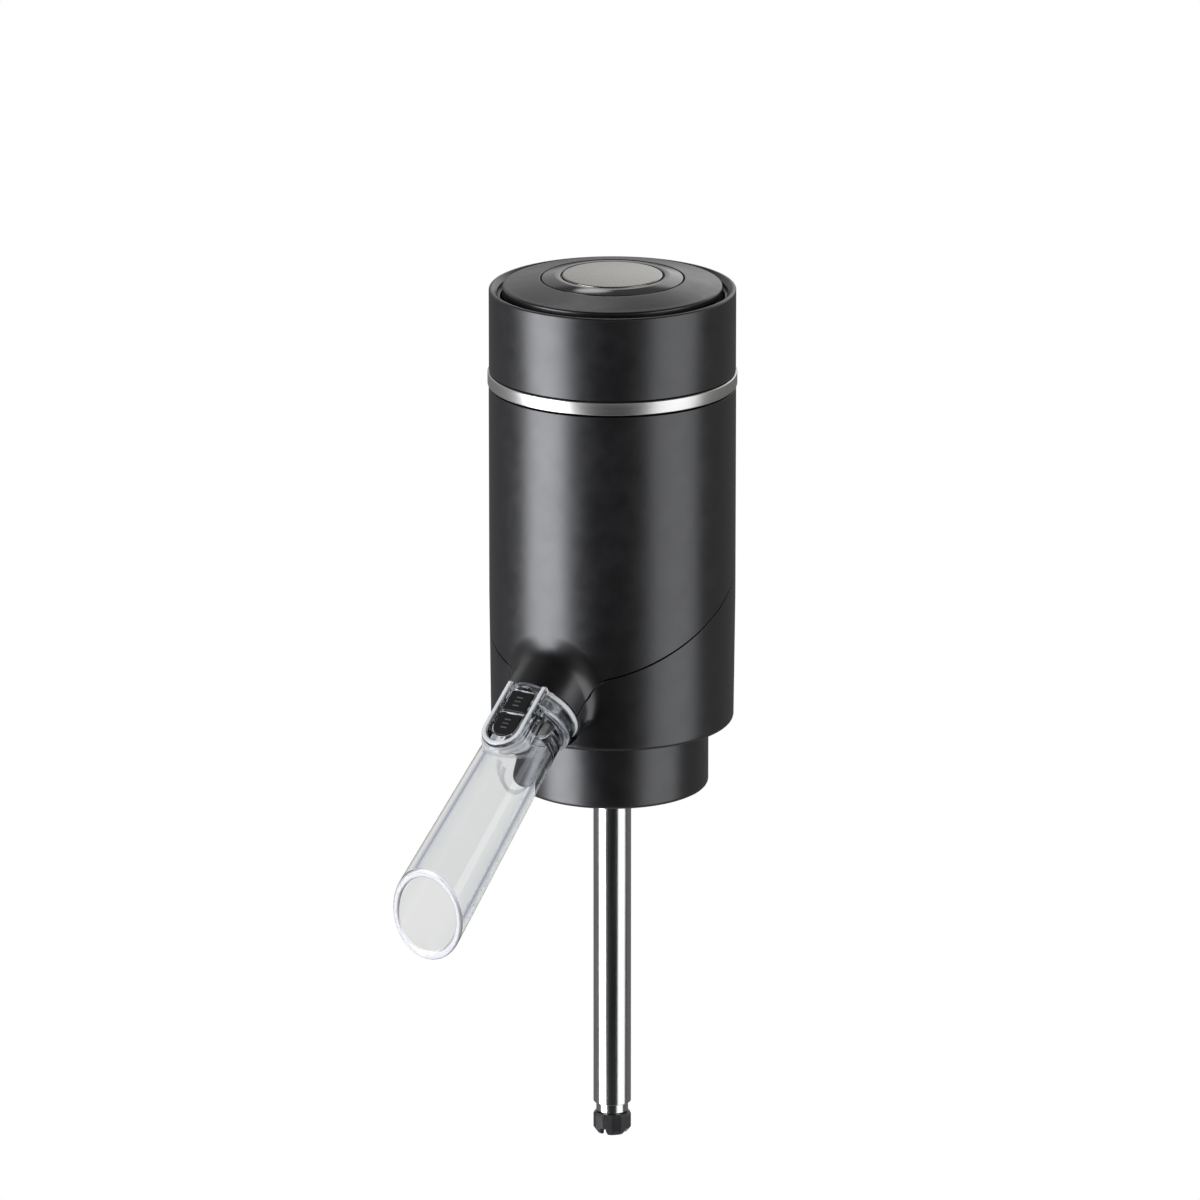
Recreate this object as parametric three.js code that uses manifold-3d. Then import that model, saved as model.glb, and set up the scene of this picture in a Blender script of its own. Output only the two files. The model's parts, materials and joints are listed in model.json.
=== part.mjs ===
// Electric wine aerator. A small air pump presses air down through the stopper, so that the wine
// rises through a telescopic dip tube and leaves through a clear spout.
// Millimetres, +Z up. The origin is the centre of the face that the stopper's flange seals on,
// and the spout points to -Y.

import * as THREE from 'three';
import { mergeVertices } from 'three/addons/utils/BufferGeometryUtils.js';
import Module from 'manifold-3d';

const wasm = await Module();
wasm.setup();

const degree = Math.PI / 180;

// Faces round a turned piece: shells, middling pieces, small pieces and screws
const shellSides = 32;
const middleSides = 20;
const smallSides = 12;
const screwSides = 8;

// Steps along an arc of a profile, the cover's dome, the nozzle's fillet, bends and a coil's turn
const arcSteps = 3;
const domeSteps = 3;
const flareSteps = 4;
const elbowSteps = 11;
const hoseSteps = 8;
const wireSteps = 20;
const coilSteps = 10;

// Clearances: pieces that rest on each other, sliding tubes, and the overrun of every cut
const seat = 0.3;
const slide = 0.2;
const over = 1;

// Body: two soft-touch housings that meet on an oblique seam
const bodyRadius = 25.9;
const bodyWall = 2.2;
const bodyDrop = 2.7;
const bodyHeight = 72.9;
const bodyDraft = 0.3;
const bodyEdge = 0.35;
const footRound = 1.1;
const seamHeight = 24.7;
const seamSlope = 27 * degree;
const seamGap = 0.3;

// Head: steel band, shell, domed cover and push button
const bandHeight = 3;
const bandProud = 0.25;
const headHeight = 17.7;
const headInset = 0.05;
const headWall = 1.9;
const spigotHeight = 6.8;
const spigotWall = 1.7;
const skirtPlay = 0.45;
const rimBevel = 0.8;
const ledgeDrop = 4;
const ledgeThickness = 1.5;
const ledgePlay = 0.95;
const stepDrop = 1.7;
const stepWidth = 0.65;
const coverGap = 0.95;
const coverRing = 8.2;
const coverWall = 1.5;
const coverEdgeRise = 0.6;
const coverDomeRise = 1.5;
const buttonPlay = 0.3;
const buttonBevel = 3.2;
const buttonBevelRise = 0.6;
const buttonTravel = 1.2;
const buttonWall = 1.4;
const buttonSkirt = 4.6;
const buttonRing = 4.3;
const discThickness = 1;
const discRise = 0.15;

// Neck collar and the rubber stopper inside it
const collarStep = 5.6;
const collarWall = 2;
const collarDepth = 17;
const collarRound = 1;
const collarRoof = 2;
const retainerThickness = 2;
const stopperFlange = 2.5;
const stopperDepth = 14;
const stopperRadius = 9.2;
const stopperTaper = 0.8;
const stopperRib = 0.5;
const stopperRibs = 3;

// Dip tube: three stages, telescoped, and the socket that holds them
const tubeRadius = 4;
const tubeWall = 0.4;
const tubeLength = 87;
const tubeStep = 2;
const socketWall = 1.3;
const socketFlange = 10.5;
const socketDepth = 15;
const socketRise = 0.7;
const socketChamfer = 1;
const socketShoulder = 1;
const footLength = 4.6;
const footChamfer = 1;
const footNotch = 1.4;

// Wine passage from the socket over a bend into the spout
const elbowRadius = 3.6;
const elbowBore = 2.2;
const bendRadius = 8;

// Spout: its axis comes out of the body's wall at this height and slopes down
const nozzleHeight = 8.11;
const spoutPitch = 35 * degree;
const nozzleRadius = 9;
const nozzleWall = 2.4;
const nozzleReach = 3.4;
const nozzleSleeve = 10;
const nozzleFillet = 2.4;
const nozzleSeamRise = 0.6;
const flareSunk = 0.06;
const flareLeast = 0.12;
const flareTailShare = 0.9;
const ringRadius = 9;
const ringWall = 1.4;
const ringLength = 7.7;
const ringRound = 0.5;
const spoutLength = 55.8;
const spoutMouthTilt = 2.7 * degree;
const spoutRootRadius = 7.3;
const spoutMouthRadius = 8.4;
const spoutWall = 1.6;
const spigotLength = 7.8;
const spigotTubeRadius = 6;
const spigotTubeWall = 1.3;

// Raised frame on the spout's collar, with a pocket for each of two pads
const saddleHalfWidth = 5.9;
const saddleHeight = 8.1;
const saddleLength = 18;
const rimHalfWidth = 4.1;
const rimHeight = 9.35;
const rimLength = 16.6;
const padHalfWidth = 2.3;
const padStart = 2.2;
const padLength = 5.4;
const padDepth = 1.2;
const padSunk = 0.3;
const padBar = 0.7;

// Air pump, its motor and the cell
const pumpClearance = 7.7;
const pumpCorner = 3;
const pumpCoverHeight = 4.7;
const valvePlateHeight = 3;
const diaphragmHeight = 1;
const diaphragmCups = 3;
const cupGap = 1.7;
const cupHeight = 3;
const cupWall = 0.7;
const chamberHeight = 14.6;
const chamberWall = 1.4;
const chamberRoof = 2.1;
const wobblePlay = 1.4;
const wobbleThickness = 1.2;
const wobbleLift = 0.6;
const wobblePin = 1;
const wobblePinLength = 3.9;
const eccentricRadius = 4.2;
const eccentricHeight = 5.7;
const eccentricThrow = 0.5;
const eccentricPocket = 1.9;
const eccentricPocketDepth = 3.1;
const shaftRadius = 1;
const shaftGrip = 2;
const pumpScrewEnd = 1;
const motorMargin = 1;
const motorBoss = 3;
const endCapHeight = 2;
const damperHeight = 1.5;
const cellRadius = 7;
const cellClearance = 1.2;
const pumpCellGap = 2.5;
const nippleRadius = 1.3;
const nippleBore = 0.7;
const nippleOffsetShare = 0.08;

// Inner frame, boards, charging socket, hose and wires
const plateThickness = 2;
const plateClearance = 0.5;
const elbowClearance = 1.5;
const pillarCircle = 13;
const pillarRadius = 2.2;
const railThickness = 1.6;
const railWidth = 8;
const railGap = 3.2;
const cupRingWall = 1.2;
const cupRingHeight = 4;
const bossRadius = 2.6;
const boardThickness = 1.6;
const boardPlay = 2;
const boardPost = 1.9;
const boardPostLength = 4.6;
const chargePostHeight = 2.9;
const portWidth = 8.9;
const portHeight = 3.3;
const portLength = 7.6;
const portWall = 0.3;
const portInset = 1.2;
const portPlay = 0.4;
const tongueThickness = 0.7;
const tongueWidthShare = 0.72;
const tongueLengthShare = 0.8;
const switchSize = 8.5;
const switchHeight = 5;
const switchFloor = 0.7;
const plungerRadius = 1.75;
const springRadius = 7.2;
const springWire = 0.35;
const springTurns = 5;
const hoseRadius = 2.3;
const hoseWall = 0.8;
const valveRadius = 2.9;
const valveHeight = 6.5;
const wireRadius = 1.1;
const wireAngle = 125 * degree;
const screwHead = 1.8;
const screwHeadHeight = 1.1;
const screwShank = 0.8;
const screwHole = 1.05;

// Heights worked out from the sizes above
const bodyFoot = -bodyDrop;
const bodyTop = bodyFoot + bodyHeight;
const floorTop = bodyFoot + bodyWall;
const spigotTop = bodyTop + spigotHeight;
const headFoot = bodyTop + bandHeight + seat / 3;
const headTop = headFoot + headHeight;
const ledgeTop = headTop - ledgeDrop;
const ledgeFoot = ledgeTop - ledgeThickness;
const roofFoot = stopperFlange + seat;
const roofTop = roofFoot + collarRoof;
const socketFlangeFoot = roofTop + seat;
const socketFlangeTop = socketFlangeFoot + collarRoof;
const socketTop = socketFlangeTop + socketRise;

// Radii worked out from the sizes above
const cavityRadius = bodyRadius - bodyWall;
const footRadius = bodyRadius - bodyDraft;
const headRadius = bodyRadius - headInset;
const skirtRadius = headRadius - headWall;
const spigotRadius = skirtRadius - skirtPlay;
const spigotBore = spigotRadius - spigotWall;
const coverRadius = skirtRadius - coverGap;
const buttonRadius = coverRadius - coverRing;
const discRadius = buttonRadius - buttonRing;
const flangeRadius = buttonRadius + coverWall / 2;
const ledgeRadius = flangeRadius + ledgePlay;
const boardRadius = skirtRadius - boardPlay;
const collarRadius = bodyRadius - collarStep;
const collarBore = collarRadius - collarWall;
const socketRadius = tubeRadius + seat + socketWall;
const stopperBore = socketRadius + seat;

// The spout's axis, from the height where it crosses the body's axis
const spoutAxisHeight = nozzleHeight + bodyRadius * Math.tan(spoutPitch);
const nozzleEnd = bodyRadius / Math.cos(spoutPitch) + nozzleReach;
const spoutMouth = nozzleEnd + spoutLength;

// The bend turns the wine from straight up to straight down the spout's axis
const bendTurn = Math.PI / 2 + spoutPitch;
const bendTangent = bendRadius * Math.tan(bendTurn / 2);
const bendStart = spoutAxisHeight - bendTangent;
const elbowTop = bendStart + bendRadius + elbowRadius;
const elbowFoot = seat;
const plateFoot = elbowTop + elbowClearance;
const plateTop = plateFoot + plateThickness;

// The frame's upper plate closes the space for the pump and the cell
const upperPlateTop = spigotTop - plateThickness;
const upperPlateFoot = upperPlateTop - plateThickness;
const shoulderFoot = bodyTop - bodyWall - seat;
const shoulderTop = bodyTop - bodyWall / 3;

// The pump and its motor fill the width that the cell leaves
const pumpSize = 2 * (cavityRadius - cellRadius) - cellClearance - pumpCellGap - pumpClearance;
const motorRadius = pumpSize / 2 - motorMargin;
const chamberBore = pumpSize / 2 - chamberWall;
const wobbleRadius = chamberBore - wobblePlay;
const cupCircle = chamberBore / 2;
const cupRadius = cupCircle * Math.sin(Math.PI / diaphragmCups) - cupGap / 2;

// Pump stack, from the frame's lower plate upwards; the motor can fills what is left
const pumpCoverFoot = plateTop + seat;
const valvePlateFoot = pumpCoverFoot + pumpCoverHeight + seat;
const diaphragmFoot = valvePlateFoot + valvePlateHeight + seat;
const diaphragmTop = diaphragmFoot + diaphragmHeight;
const chamberFoot = diaphragmTop + seat;
const chamberTop = chamberFoot + chamberHeight;
const wobbleFoot = diaphragmTop + cupHeight + wobbleLift;
const wobbleTop = wobbleFoot + wobbleThickness;
const eccentricTop = chamberTop - chamberRoof - seat;
const eccentricFoot = eccentricTop - eccentricHeight;
const motorFoot = chamberTop + seat;
const damperTop = upperPlateFoot - seat;
const damperFoot = damperTop - damperHeight;
const endCapTop = damperFoot - seat;
const endCapFoot = endCapTop - endCapHeight;
const motorTop = endCapFoot - seat;

// Where the cell, the pump and the rails stand
const cellY = cavityRadius - cellClearance - cellRadius;
const pumpY = cellY - cellRadius - pumpCellGap - pumpSize / 2;
const railX = pumpSize / 2 + railGap;
const nippleX = pumpSize / 2 - nippleRadius - seat;
const nippleY = pumpY + pumpSize * nippleOffsetShare;
const airPortX = stopperRadius - nippleRadius - seat;
const wireCircle = spigotBore - plateClearance - 2 * wireRadius;
const wireX = wireCircle * Math.cos(wireAngle);
const wireY = wireCircle * Math.sin(wireAngle);
const bossX = spigotBore - bossRadius + seat;

// Spout, measured along its own axis from the body's axis
const ringStart = nozzleEnd + seat;
const ringEnd = ringStart + ringLength;
const tubeStart = ringEnd + spoutWall;
const sleeveStart = nozzleEnd - nozzleSleeve;
const spotRadius = ringRadius + seat;

// Places that several pieces share
const pillarAngle = 40 * degree;
const pillarPlaces = [1, -1].flatMap((front) => [1, -1].map((side) => [
  side * pillarCircle * Math.cos(pillarAngle), front * pillarCircle * Math.sin(pillarAngle),
]));
const pillarScrewLength = 7;
const socketScrewPlaces = [[0, socketRadius + screwHead + seat], [0, -socketRadius - screwHead - seat]];
const boardCircle = boardRadius - boardPost;
const boardScrewPlaces = spread(3, Math.PI / 6).map((angle) => [
  boardCircle * Math.cos(angle), boardCircle * Math.sin(angle),
]);
const pumpScrewOffset = pumpSize / 2 - pumpCorner + seat * 2;
const pumpScrewPlaces = [1, -1].flatMap((back) => [1, -1].map((side) => [
  side * pumpScrewOffset, pumpY + back * pumpScrewOffset,
]));
const pumpScrewLength = chamberTop - pumpScrewEnd - pumpCoverFoot - screwHeadHeight;
const chargePostX = portWidth / 2 + screwHead + seat;
const chargeBoardWidth = 2 * (chargePostX + pillarRadius);
const chargeBoardBack = pillarCircle * Math.sin(pillarAngle) + pillarRadius + seat;
const chargePostY = chargeBoardBack + pillarRadius;
const chargeBoardFront = Math.sqrt((footRadius - bodyWall - 2 * seat) ** 2 - (chargeBoardWidth / 2) ** 2);
const chargeBoardFoot = roofTop + chargePostHeight + seat;
const chargeBoardTop = chargeBoardFoot + boardThickness;
const portMiddle = chargeBoardTop + seat + portHeight / 2;
const wireStartX = wireRadius + seat - chargeBoardWidth / 2;
const wireStartY = chargePostY + screwHead + wireRadius + seat;
const sealSection = 0.4;
const sealRadius = tubeRadius + sealSection + slide / 2;
const sealHeight = -socketDepth / 2;
const valveFoot = socketTop + seat;
const nippleFoot = plateFoot - seat;
const boardTop = ledgeFoot - boardPostLength - seat;
const buttonTop = headTop + coverEdgeRise + coverDomeRise + buttonBevelRise;
const capFoot = buttonTop - buttonBevelRise - buttonSkirt - buttonWall / 2 - seat;
const capCeiling = buttonTop - discThickness - seat + discRise - buttonWall;
const stemFoot = boardTop + seat + switchHeight + buttonTravel + seat;
const switchPocketFoot = boardTop + seat + switchFloor;
const cellFoot = plateTop + seat;
const cellTop = shoulderFoot - seat;
const shaftFoot = eccentricTop - shaftGrip + slide;
const shaftTop = motorTop - endCapHeight / 2;

// Shape helpers

// A closed mesh with merged corners, as a solid that can be joined and cut
function solid(geometry) {
  geometry.deleteAttribute('normal');
  geometry.deleteAttribute('uv');
  const merged = mergeVertices(geometry);
  const corners = merged.index.array;
  const faces = [];
  for (let i = 0; i < corners.length; i += 3) {
    const [a, b, c] = [corners[i], corners[i + 1], corners[i + 2]];
    if (a !== b && b !== c && c !== a) faces.push(a, b, c);
  }
  const vertProperties = Float32Array.from(merged.attributes.position.array);
  const triVerts = Uint32Array.from(faces);
  return new wasm.Manifold(new wasm.Mesh({ numProp: 3, vertProperties, triVerts }));
}

function geometryOf(shape) {
  const mesh = shape.getMesh();
  const geometry = new THREE.BufferGeometry();
  geometry.setAttribute('position', new THREE.BufferAttribute(mesh.vertProperties, 3));
  geometry.setIndex(new THREE.BufferAttribute(mesh.triVerts, 1));
  geometry.computeVertexNormals();
  return geometry;
}

// A profile of [radius, height] points, outer side upwards, turned about Z
function turned(profile, sides = shellSides) {
  const points = profile.map(([radius, height]) => new THREE.Vector2(radius, height));
  if (profile[0][0] > 0) points.push(points[0].clone());
  const geometry = new THREE.LatheGeometry(points, sides);
  geometry.rotateX(Math.PI / 2);
  return solid(geometry);
}

const rod = (radius, foot, top, sides = smallSides) =>
  turned([[0, foot], [radius, foot], [radius, top], [0, top]], sides);

const pipe = (radius, bore, foot, top, sides = smallSides) =>
  turned([[bore, foot], [radius, foot], [radius, top], [bore, top]], sides);

// A screw's clearance hole
const screwBore = (foot, top) => rod(screwHole, foot, top, screwSides);

// Points of an arc in a profile, from one angle to another
function arc(centreRadius, centreHeight, radius, from, to, steps = arcSteps) {
  return Array.from({ length: steps + 1 }, (_, i) => {
    const angle = from + (to - from) * i / steps;
    return [centreRadius + radius * Math.cos(angle), centreHeight + radius * Math.sin(angle)];
  });
}

function block(width, depth, foot, top) {
  const geometry = new THREE.BoxGeometry(width, depth, top - foot);
  geometry.translate(0, 0, (foot + top) / 2);
  return solid(geometry);
}

// An outline in X and Y with rounded corners
function roundedOutline(width, depth, corner) {
  const [x, y] = [width / 2, depth / 2];
  const shape = new THREE.Shape();
  shape.absarc(x - corner, y - corner, corner, 0, Math.PI / 2);
  shape.absarc(corner - x, y - corner, corner, Math.PI / 2, Math.PI);
  shape.absarc(corner - x, corner - y, corner, Math.PI, 1.5 * Math.PI);
  shape.absarc(x - corner, corner - y, corner, 1.5 * Math.PI, 2 * Math.PI);
  return shape;
}

function prism(outline, foot, top, curveSegments = arcSteps) {
  const geometry = new THREE.ExtrudeGeometry(outline, {
    depth: top - foot, bevelEnabled: false, curveSegments,
  });
  geometry.translate(0, 0, foot);
  return solid(geometry);
}

// A slab with one rounded end, lying along Z: x is its width, y its top, z its length
function roundEndSlab(halfWidth, start, length, foot, top) {
  const outline = new THREE.Shape();
  outline.moveTo(-halfWidth, start);
  outline.lineTo(halfWidth, start);
  outline.lineTo(halfWidth, start + length - halfWidth);
  outline.absarc(0, start + length - halfWidth, halfWidth, 0, Math.PI);
  const geometry = new THREE.ExtrudeGeometry(outline, {
    depth: top - foot, bevelEnabled: false, curveSegments: smallSides,
  });
  geometry.rotateX(Math.PI / 2);
  geometry.translate(0, top, 0);
  return solid(geometry);
}

// A pipe or a solid strand of constant section along a curve
function along(curve, radius, bore, steps, sides) {
  const section = new THREE.Shape();
  section.absarc(0, 0, radius, 0, 2 * Math.PI);
  if (bore > 0) {
    const hole = new THREE.Path();
    hole.absarc(0, 0, bore, 0, 2 * Math.PI, true);
    section.holes.push(hole);
  }
  return solid(new THREE.ExtrudeGeometry(section, {
    steps, extrudePath: curve, curveSegments: sides / 2,
  }));
}

// A line from one height to another that steps aside on the way and ends upright
class Sidestep extends THREE.Curve {
  constructor(from, to, lead) {
    super();
    this.from = from;
    this.to = to;
    this.lead = lead;
  }

  getPoint(t, target = new THREE.Vector3()) {
    const height = THREE.MathUtils.lerp(this.from.z, this.to.z, t);
    const share = THREE.MathUtils.smoothstep(height, this.from.z + this.lead, this.to.z - this.lead);
    target.lerpVectors(this.from, this.to, share);
    return target.setZ(height);
  }
}

const moved = (shape, x, y, z = 0) => shape.translate([x, y, z]);

// From the spout's own frame, +Z down its axis and +Y on its upper side, to the body's
const tilted = (shape) =>
  shape.rotate([bendTurn / degree, 0, 0]).translate([0, 0, spoutAxisHeight]);

// A pan-head screw whose head rests at height zero and whose shank points down
function screwShape(length) {
  return turned([
    [0, -length],
    [screwShank, -length],
    [screwShank, 0],
    [screwHead, 0],
    [screwHead - seat, screwHeadHeight],
    [0, screwHeadHeight],
  ], screwSides);
}

// Angles of copies spread round a circle
function spread(count, start = 0) {
  return Array.from({ length: count }, (_, i) => start + i * 2 * Math.PI / count);
}

// Housings

// The outer form of both housings together: drafted foot, straight wall and top spigot
function bodyForm() {
  return turned([
    [0, bodyFoot],
    ...arc(footRadius - footRound, bodyFoot + footRound, footRound, -Math.PI / 2, 0),
    [bodyRadius, seamHeight],
    [bodyRadius, bodyTop - bodyEdge],
    [bodyRadius - bodyEdge, bodyTop],
    [spigotRadius, bodyTop],
    [spigotRadius, spigotTop],
    [0, spigotTop],
  ]);
}

function bodyCavity() {
  return turned([
    [0, floorTop],
    [footRadius - bodyWall, floorTop],
    [cavityRadius, seamHeight],
    [cavityRadius, shoulderFoot],
    [spigotBore, shoulderTop],
    [spigotBore, spigotTop + over],
    [0, spigotTop + over],
  ]);
}

// Where a line of the nozzle's outside, at an angle round its axis, enters the body's wall
function nozzleEntry(angle) {
  const x = nozzleRadius * Math.cos(angle);
  const rise = nozzleRadius * Math.sin(angle) * Math.sin(spoutPitch);
  return (Math.sqrt(bodyRadius ** 2 - x ** 2) - rise) / Math.cos(spoutPitch);
}

function nozzlePoint(angle, distance) {
  const up = nozzleRadius * Math.sin(angle);
  return new THREE.Vector3(
    nozzleRadius * Math.cos(angle),
    -distance * Math.cos(spoutPitch) - up * Math.sin(spoutPitch),
    spoutAxisHeight - distance * Math.sin(spoutPitch) + up * Math.cos(spoutPitch),
  );
}

// A point on the body's wall, from the arc length off the front and the height
const wallPoint = (arcLength, height, radius) => new THREE.Vector3(
  radius * Math.sin(arcLength / bodyRadius), -radius * Math.cos(arcLength / bodyRadius), height,
);

// The nozzle stub, which flares into the body's wall with a fillet. Each of its lines leaves
// the nozzle tangentially and lands on the wall tangentially, along a quadratic curve. The
// fillet dies out underneath, where the nozzle's end lies within the wall.
function nozzleFlare() {
  const count = shellSides;
  const angles = spread(count);
  const entries = angles.map((angle) => nozzlePoint(angle, nozzleEntry(angle)));
  const onWall = entries.map((point) => [
    bodyRadius * Math.atan2(point.x, -point.y), point.z,
  ]);
  const tail = wallPoint(0, spoutAxisHeight - bodyRadius * Math.tan(spoutPitch), cavityRadius);
  const rings = Array.from({ length: flareSteps + 4 }, () => []);
  angles.forEach((angle, i) => {
    const entry = nozzleEntry(angle);
    const room = nozzleEnd - entry - seat;
    const size = THREE.MathUtils.clamp(room, flareLeast, nozzleFillet);
    const before = onWall[(i + count - 1) % count];
    const after = onWall[(i + 1) % count];
    const outward = new THREE.Vector2(after[1] - before[1], before[0] - after[0]).normalize();
    const landing = onWall[i].map((value, k) => value + size * outward.getComponent(k));
    const curve = new THREE.QuadraticBezierCurve3(
      nozzlePoint(angle, entry + size), entries[i],
      wallPoint(landing[0], landing[1], bodyRadius - flareSunk),
    );
    const root = wallPoint(landing[0], landing[1], bodyRadius - bodyWall / 2);
    rings[0].push(nozzlePoint(angle, nozzleEnd + nozzleSleeve));
    curve.getPoints(flareSteps).forEach((point, k) => rings[k + 1].push(point));
    rings[flareSteps + 2].push(root);
    rings[flareSteps + 3].push(root.clone().lerp(tail, flareTailShare));
  });
  return lofted(rings);
}

// A closed skin over rings with equal counts of points, each end closed with a fan
function lofted(rings) {
  const count = rings[0].length;
  const points = rings.flat();
  const middleOf = (ring) =>
    ring.reduce((sum, point) => sum.add(point), new THREE.Vector3()).divideScalar(count);
  points.push(middleOf(rings[0]), middleOf(rings.at(-1)));
  const [firstMiddle, lastMiddle] = [points.length - 2, points.length - 1];
  const lastRing = (rings.length - 1) * count;
  const faces = [];
  for (let i = 0; i < count; i += 1) {
    const next = (i + 1) % count;
    for (let k = 0; k < rings.length - 1; k += 1) {
      const [a, b] = [k * count + i, k * count + next];
      faces.push(a, a + count, b, b, a + count, b + count);
    }
    faces.push(firstMiddle, i, next, lastMiddle, lastRing + next, lastRing + i);
  }
  const geometry = new THREE.BufferGeometry().setFromPoints(points);
  geometry.setIndex(faces);
  return solid(geometry);
}

// Everything below the seam: the oblique plane, lowered to the nozzle's own middle plane
function belowSeam(shift) {
  const reach = bodyRadius * 3;
  const slab = block(reach, reach, -reach, shift)
    .rotate([seamSlope / degree, 0, 0]).translate([0, 0, seamHeight]);
  const half = nozzleRadius + seat;
  const rise = nozzleSeamRise + shift;
  const wedge = new THREE.Shape([
    new THREE.Vector2(-half, rise),
    new THREE.Vector2(half, rise),
    new THREE.Vector2(half + nozzleRadius / 2, rise + nozzleRadius),
    new THREE.Vector2(-half - nozzleRadius / 2, rise + nozzleRadius),
  ]);
  return slab.subtract(tilted(prism(wedge, nozzleEnd / 2, nozzleEnd * 2)));
}

// What the collar takes up inside the lower housing, with its clearance
function collarSpace() {
  return rod(collarRadius + seat, bodyFoot - over, roofTop + seat, shellSides)
    .add(rod(cavityRadius - seat, floorTop, floorTop + seat * 2 + retainerThickness, shellSides));
}

function portSlot(play, from, to) {
  const outline = roundedOutline(
    portWidth + 2 * play, portHeight + 2 * play, portHeight / 2 + play - portWall,
  );
  return prism(outline, from, to).rotate([-90, 0, 0]).translate([0, 0, portMiddle]);
}

// Both housings as one shell, before it is parted along the seam
function housingShell() {
  const flare = nozzleFlare().intersect(block(bodyRadius * 4, bodyRadius * 4, bodyFoot, bodyTop));
  let shell = bodyForm().add(flare).subtract(bodyCavity());
  const sleeve = tilted(rod(nozzleRadius, sleeveStart, nozzleEnd, middleSides))
    .intersect(rod(bodyRadius, bodyFoot, bodyTop, shellSides))
    .subtract(collarSpace());
  shell = shell.add(sleeve);
  shell = shell.subtract(tilted(rod(nozzleRadius - nozzleWall, 0, nozzleEnd * 2, middleSides)));
  shell = shell.subtract(tilted(rod(spotRadius, nozzleEnd, nozzleEnd * 2, middleSides)));
  shell = shell.subtract(rod(collarRadius + seat, bodyFoot - over, floorTop + over, shellSides));
  shell = shell.subtract(portSlot(portPlay, bodyRadius / 2, bodyRadius + over));
  for (const side of [-1, 1]) {
    const boss = rod(bossRadius, shoulderFoot - bossRadius, upperPlateFoot - seat);
    const hole = screwBore(shoulderFoot - bossRadius + seat, upperPlateTop);
    shell = shell.add(moved(boss, side * bossX, 0)).subtract(moved(hole, side * bossX, 0));
  }
  return shell;
}

// Collar, stopper, socket and dip tube

function neckCollar() {
  const inner = collarBore;
  const floor = floorTop + seat;
  let collar = turned([
    [inner, -collarDepth + collarRound / 2],
    [inner + collarRound / 2, -collarDepth],
    ...arc(collarRadius - collarRound, -collarDepth + collarRound, collarRound, -Math.PI / 2, 0),
    [collarRadius, floor],
    [cavityRadius - 2 * seat, floor],
    [cavityRadius - 2 * seat, floor + retainerThickness],
    [collarRadius, floor + retainerThickness],
    [collarRadius, roofTop],
    [stopperBore, roofTop],
    [stopperBore, roofFoot],
    [inner, roofFoot],
  ]);
  for (const side of [-1, 1]) {
    const [x, y] = [side * chargePostX, chargePostY];
    const middle = roofTop - collarRoof / 2;
    collar = collar.add(moved(rod(pillarRadius, middle, roofTop + chargePostHeight), x, y));
    collar = collar.subtract(moved(screwBore(middle, roofTop + chargePostHeight + over), x, y));
  }
  collar = collar.subtract(moved(rod(nippleRadius, 0, roofTop + over, screwSides), airPortX, 0));
  for (const [x, y] of pillarPlaces) {
    const hole = screwBore(0, roofTop + over)
      .add(rod(screwHead + seat, 0, roofFoot + screwHeadHeight + seat, screwSides));
    collar = collar.subtract(moved(hole, x, y));
  }
  for (const [x, y] of socketScrewPlaces) {
    collar = collar.subtract(moved(screwBore(roofFoot + seat, roofTop + over), x, y));
  }
  return collar;
}

// A tapered plug with ribs round it, a flange that seals on the lip and an air passage
function bottleStopper() {
  const pitch = stopperDepth / (stopperRibs + 1);
  const plug = [[stopperBore, -stopperDepth], [stopperRadius - stopperTaper, -stopperDepth]];
  for (let i = 1; i <= stopperRibs; i += 1) {
    const height = -stopperDepth + i * pitch;
    const radius = stopperRadius - stopperTaper * (1 - i / (stopperRibs + 1));
    plug.push([radius, height], [radius + stopperRib, height + stopperRib]);
  }
  const stopper = turned([
    ...plug,
    [stopperRadius + stopperRib, 0],
    [collarBore - seat, 0],
    [collarBore - seat, stopperFlange],
    [stopperBore, stopperFlange],
  ], middleSides);
  return stopper.subtract(
    moved(rod(nippleRadius - seat, -stopperDepth - over, stopperFlange + over, screwSides), airPortX, 0),
  );
}

function tubeSocket() {
  let socket = turned([
    [tubeRadius + slide, -socketDepth],
    [socketRadius - seat, -socketDepth],
    [socketRadius, -socketDepth + socketChamfer],
    [socketRadius, socketFlangeFoot],
    [socketFlange, socketFlangeFoot],
    [socketFlange, socketFlangeTop],
    [socketRadius, socketFlangeTop],
    [socketRadius, socketTop],
    [elbowRadius + seat, socketTop],
    [elbowRadius + seat, 0],
    [elbowBore, 0],
    [elbowBore, -socketShoulder],
    [tubeRadius + slide, -socketShoulder],
  ], middleSides);
  const groove = pipe(sealRadius + sealSection + seat / 3, tubeRadius - slide,
    sealHeight - sealSection - seat / 3, sealHeight + sealSection + seat / 3);
  socket = socket.subtract(groove);
  const nipple = rod(nippleRadius, socketFlangeTop - collarRoof / 2, valveFoot + valveHeight / 4);
  socket = socket.add(moved(nipple, airPortX, 0));
  socket = socket.subtract(moved(
    rod(nippleBore, socketFlangeFoot - over, valveFoot + valveHeight, screwSides), airPortX, 0,
  ));
  for (const [x, y] of socketScrewPlaces) {
    socket = socket.subtract(moved(screwBore(socketFlangeFoot - over, socketTop), x, y));
  }
  return socket;
}

// A ring of round section
function sealRing(radius, section, height) {
  return turned(arc(radius, height, section, 0, 2 * Math.PI, arcSteps + 2).slice(0, -1), smallSides);
}

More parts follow.
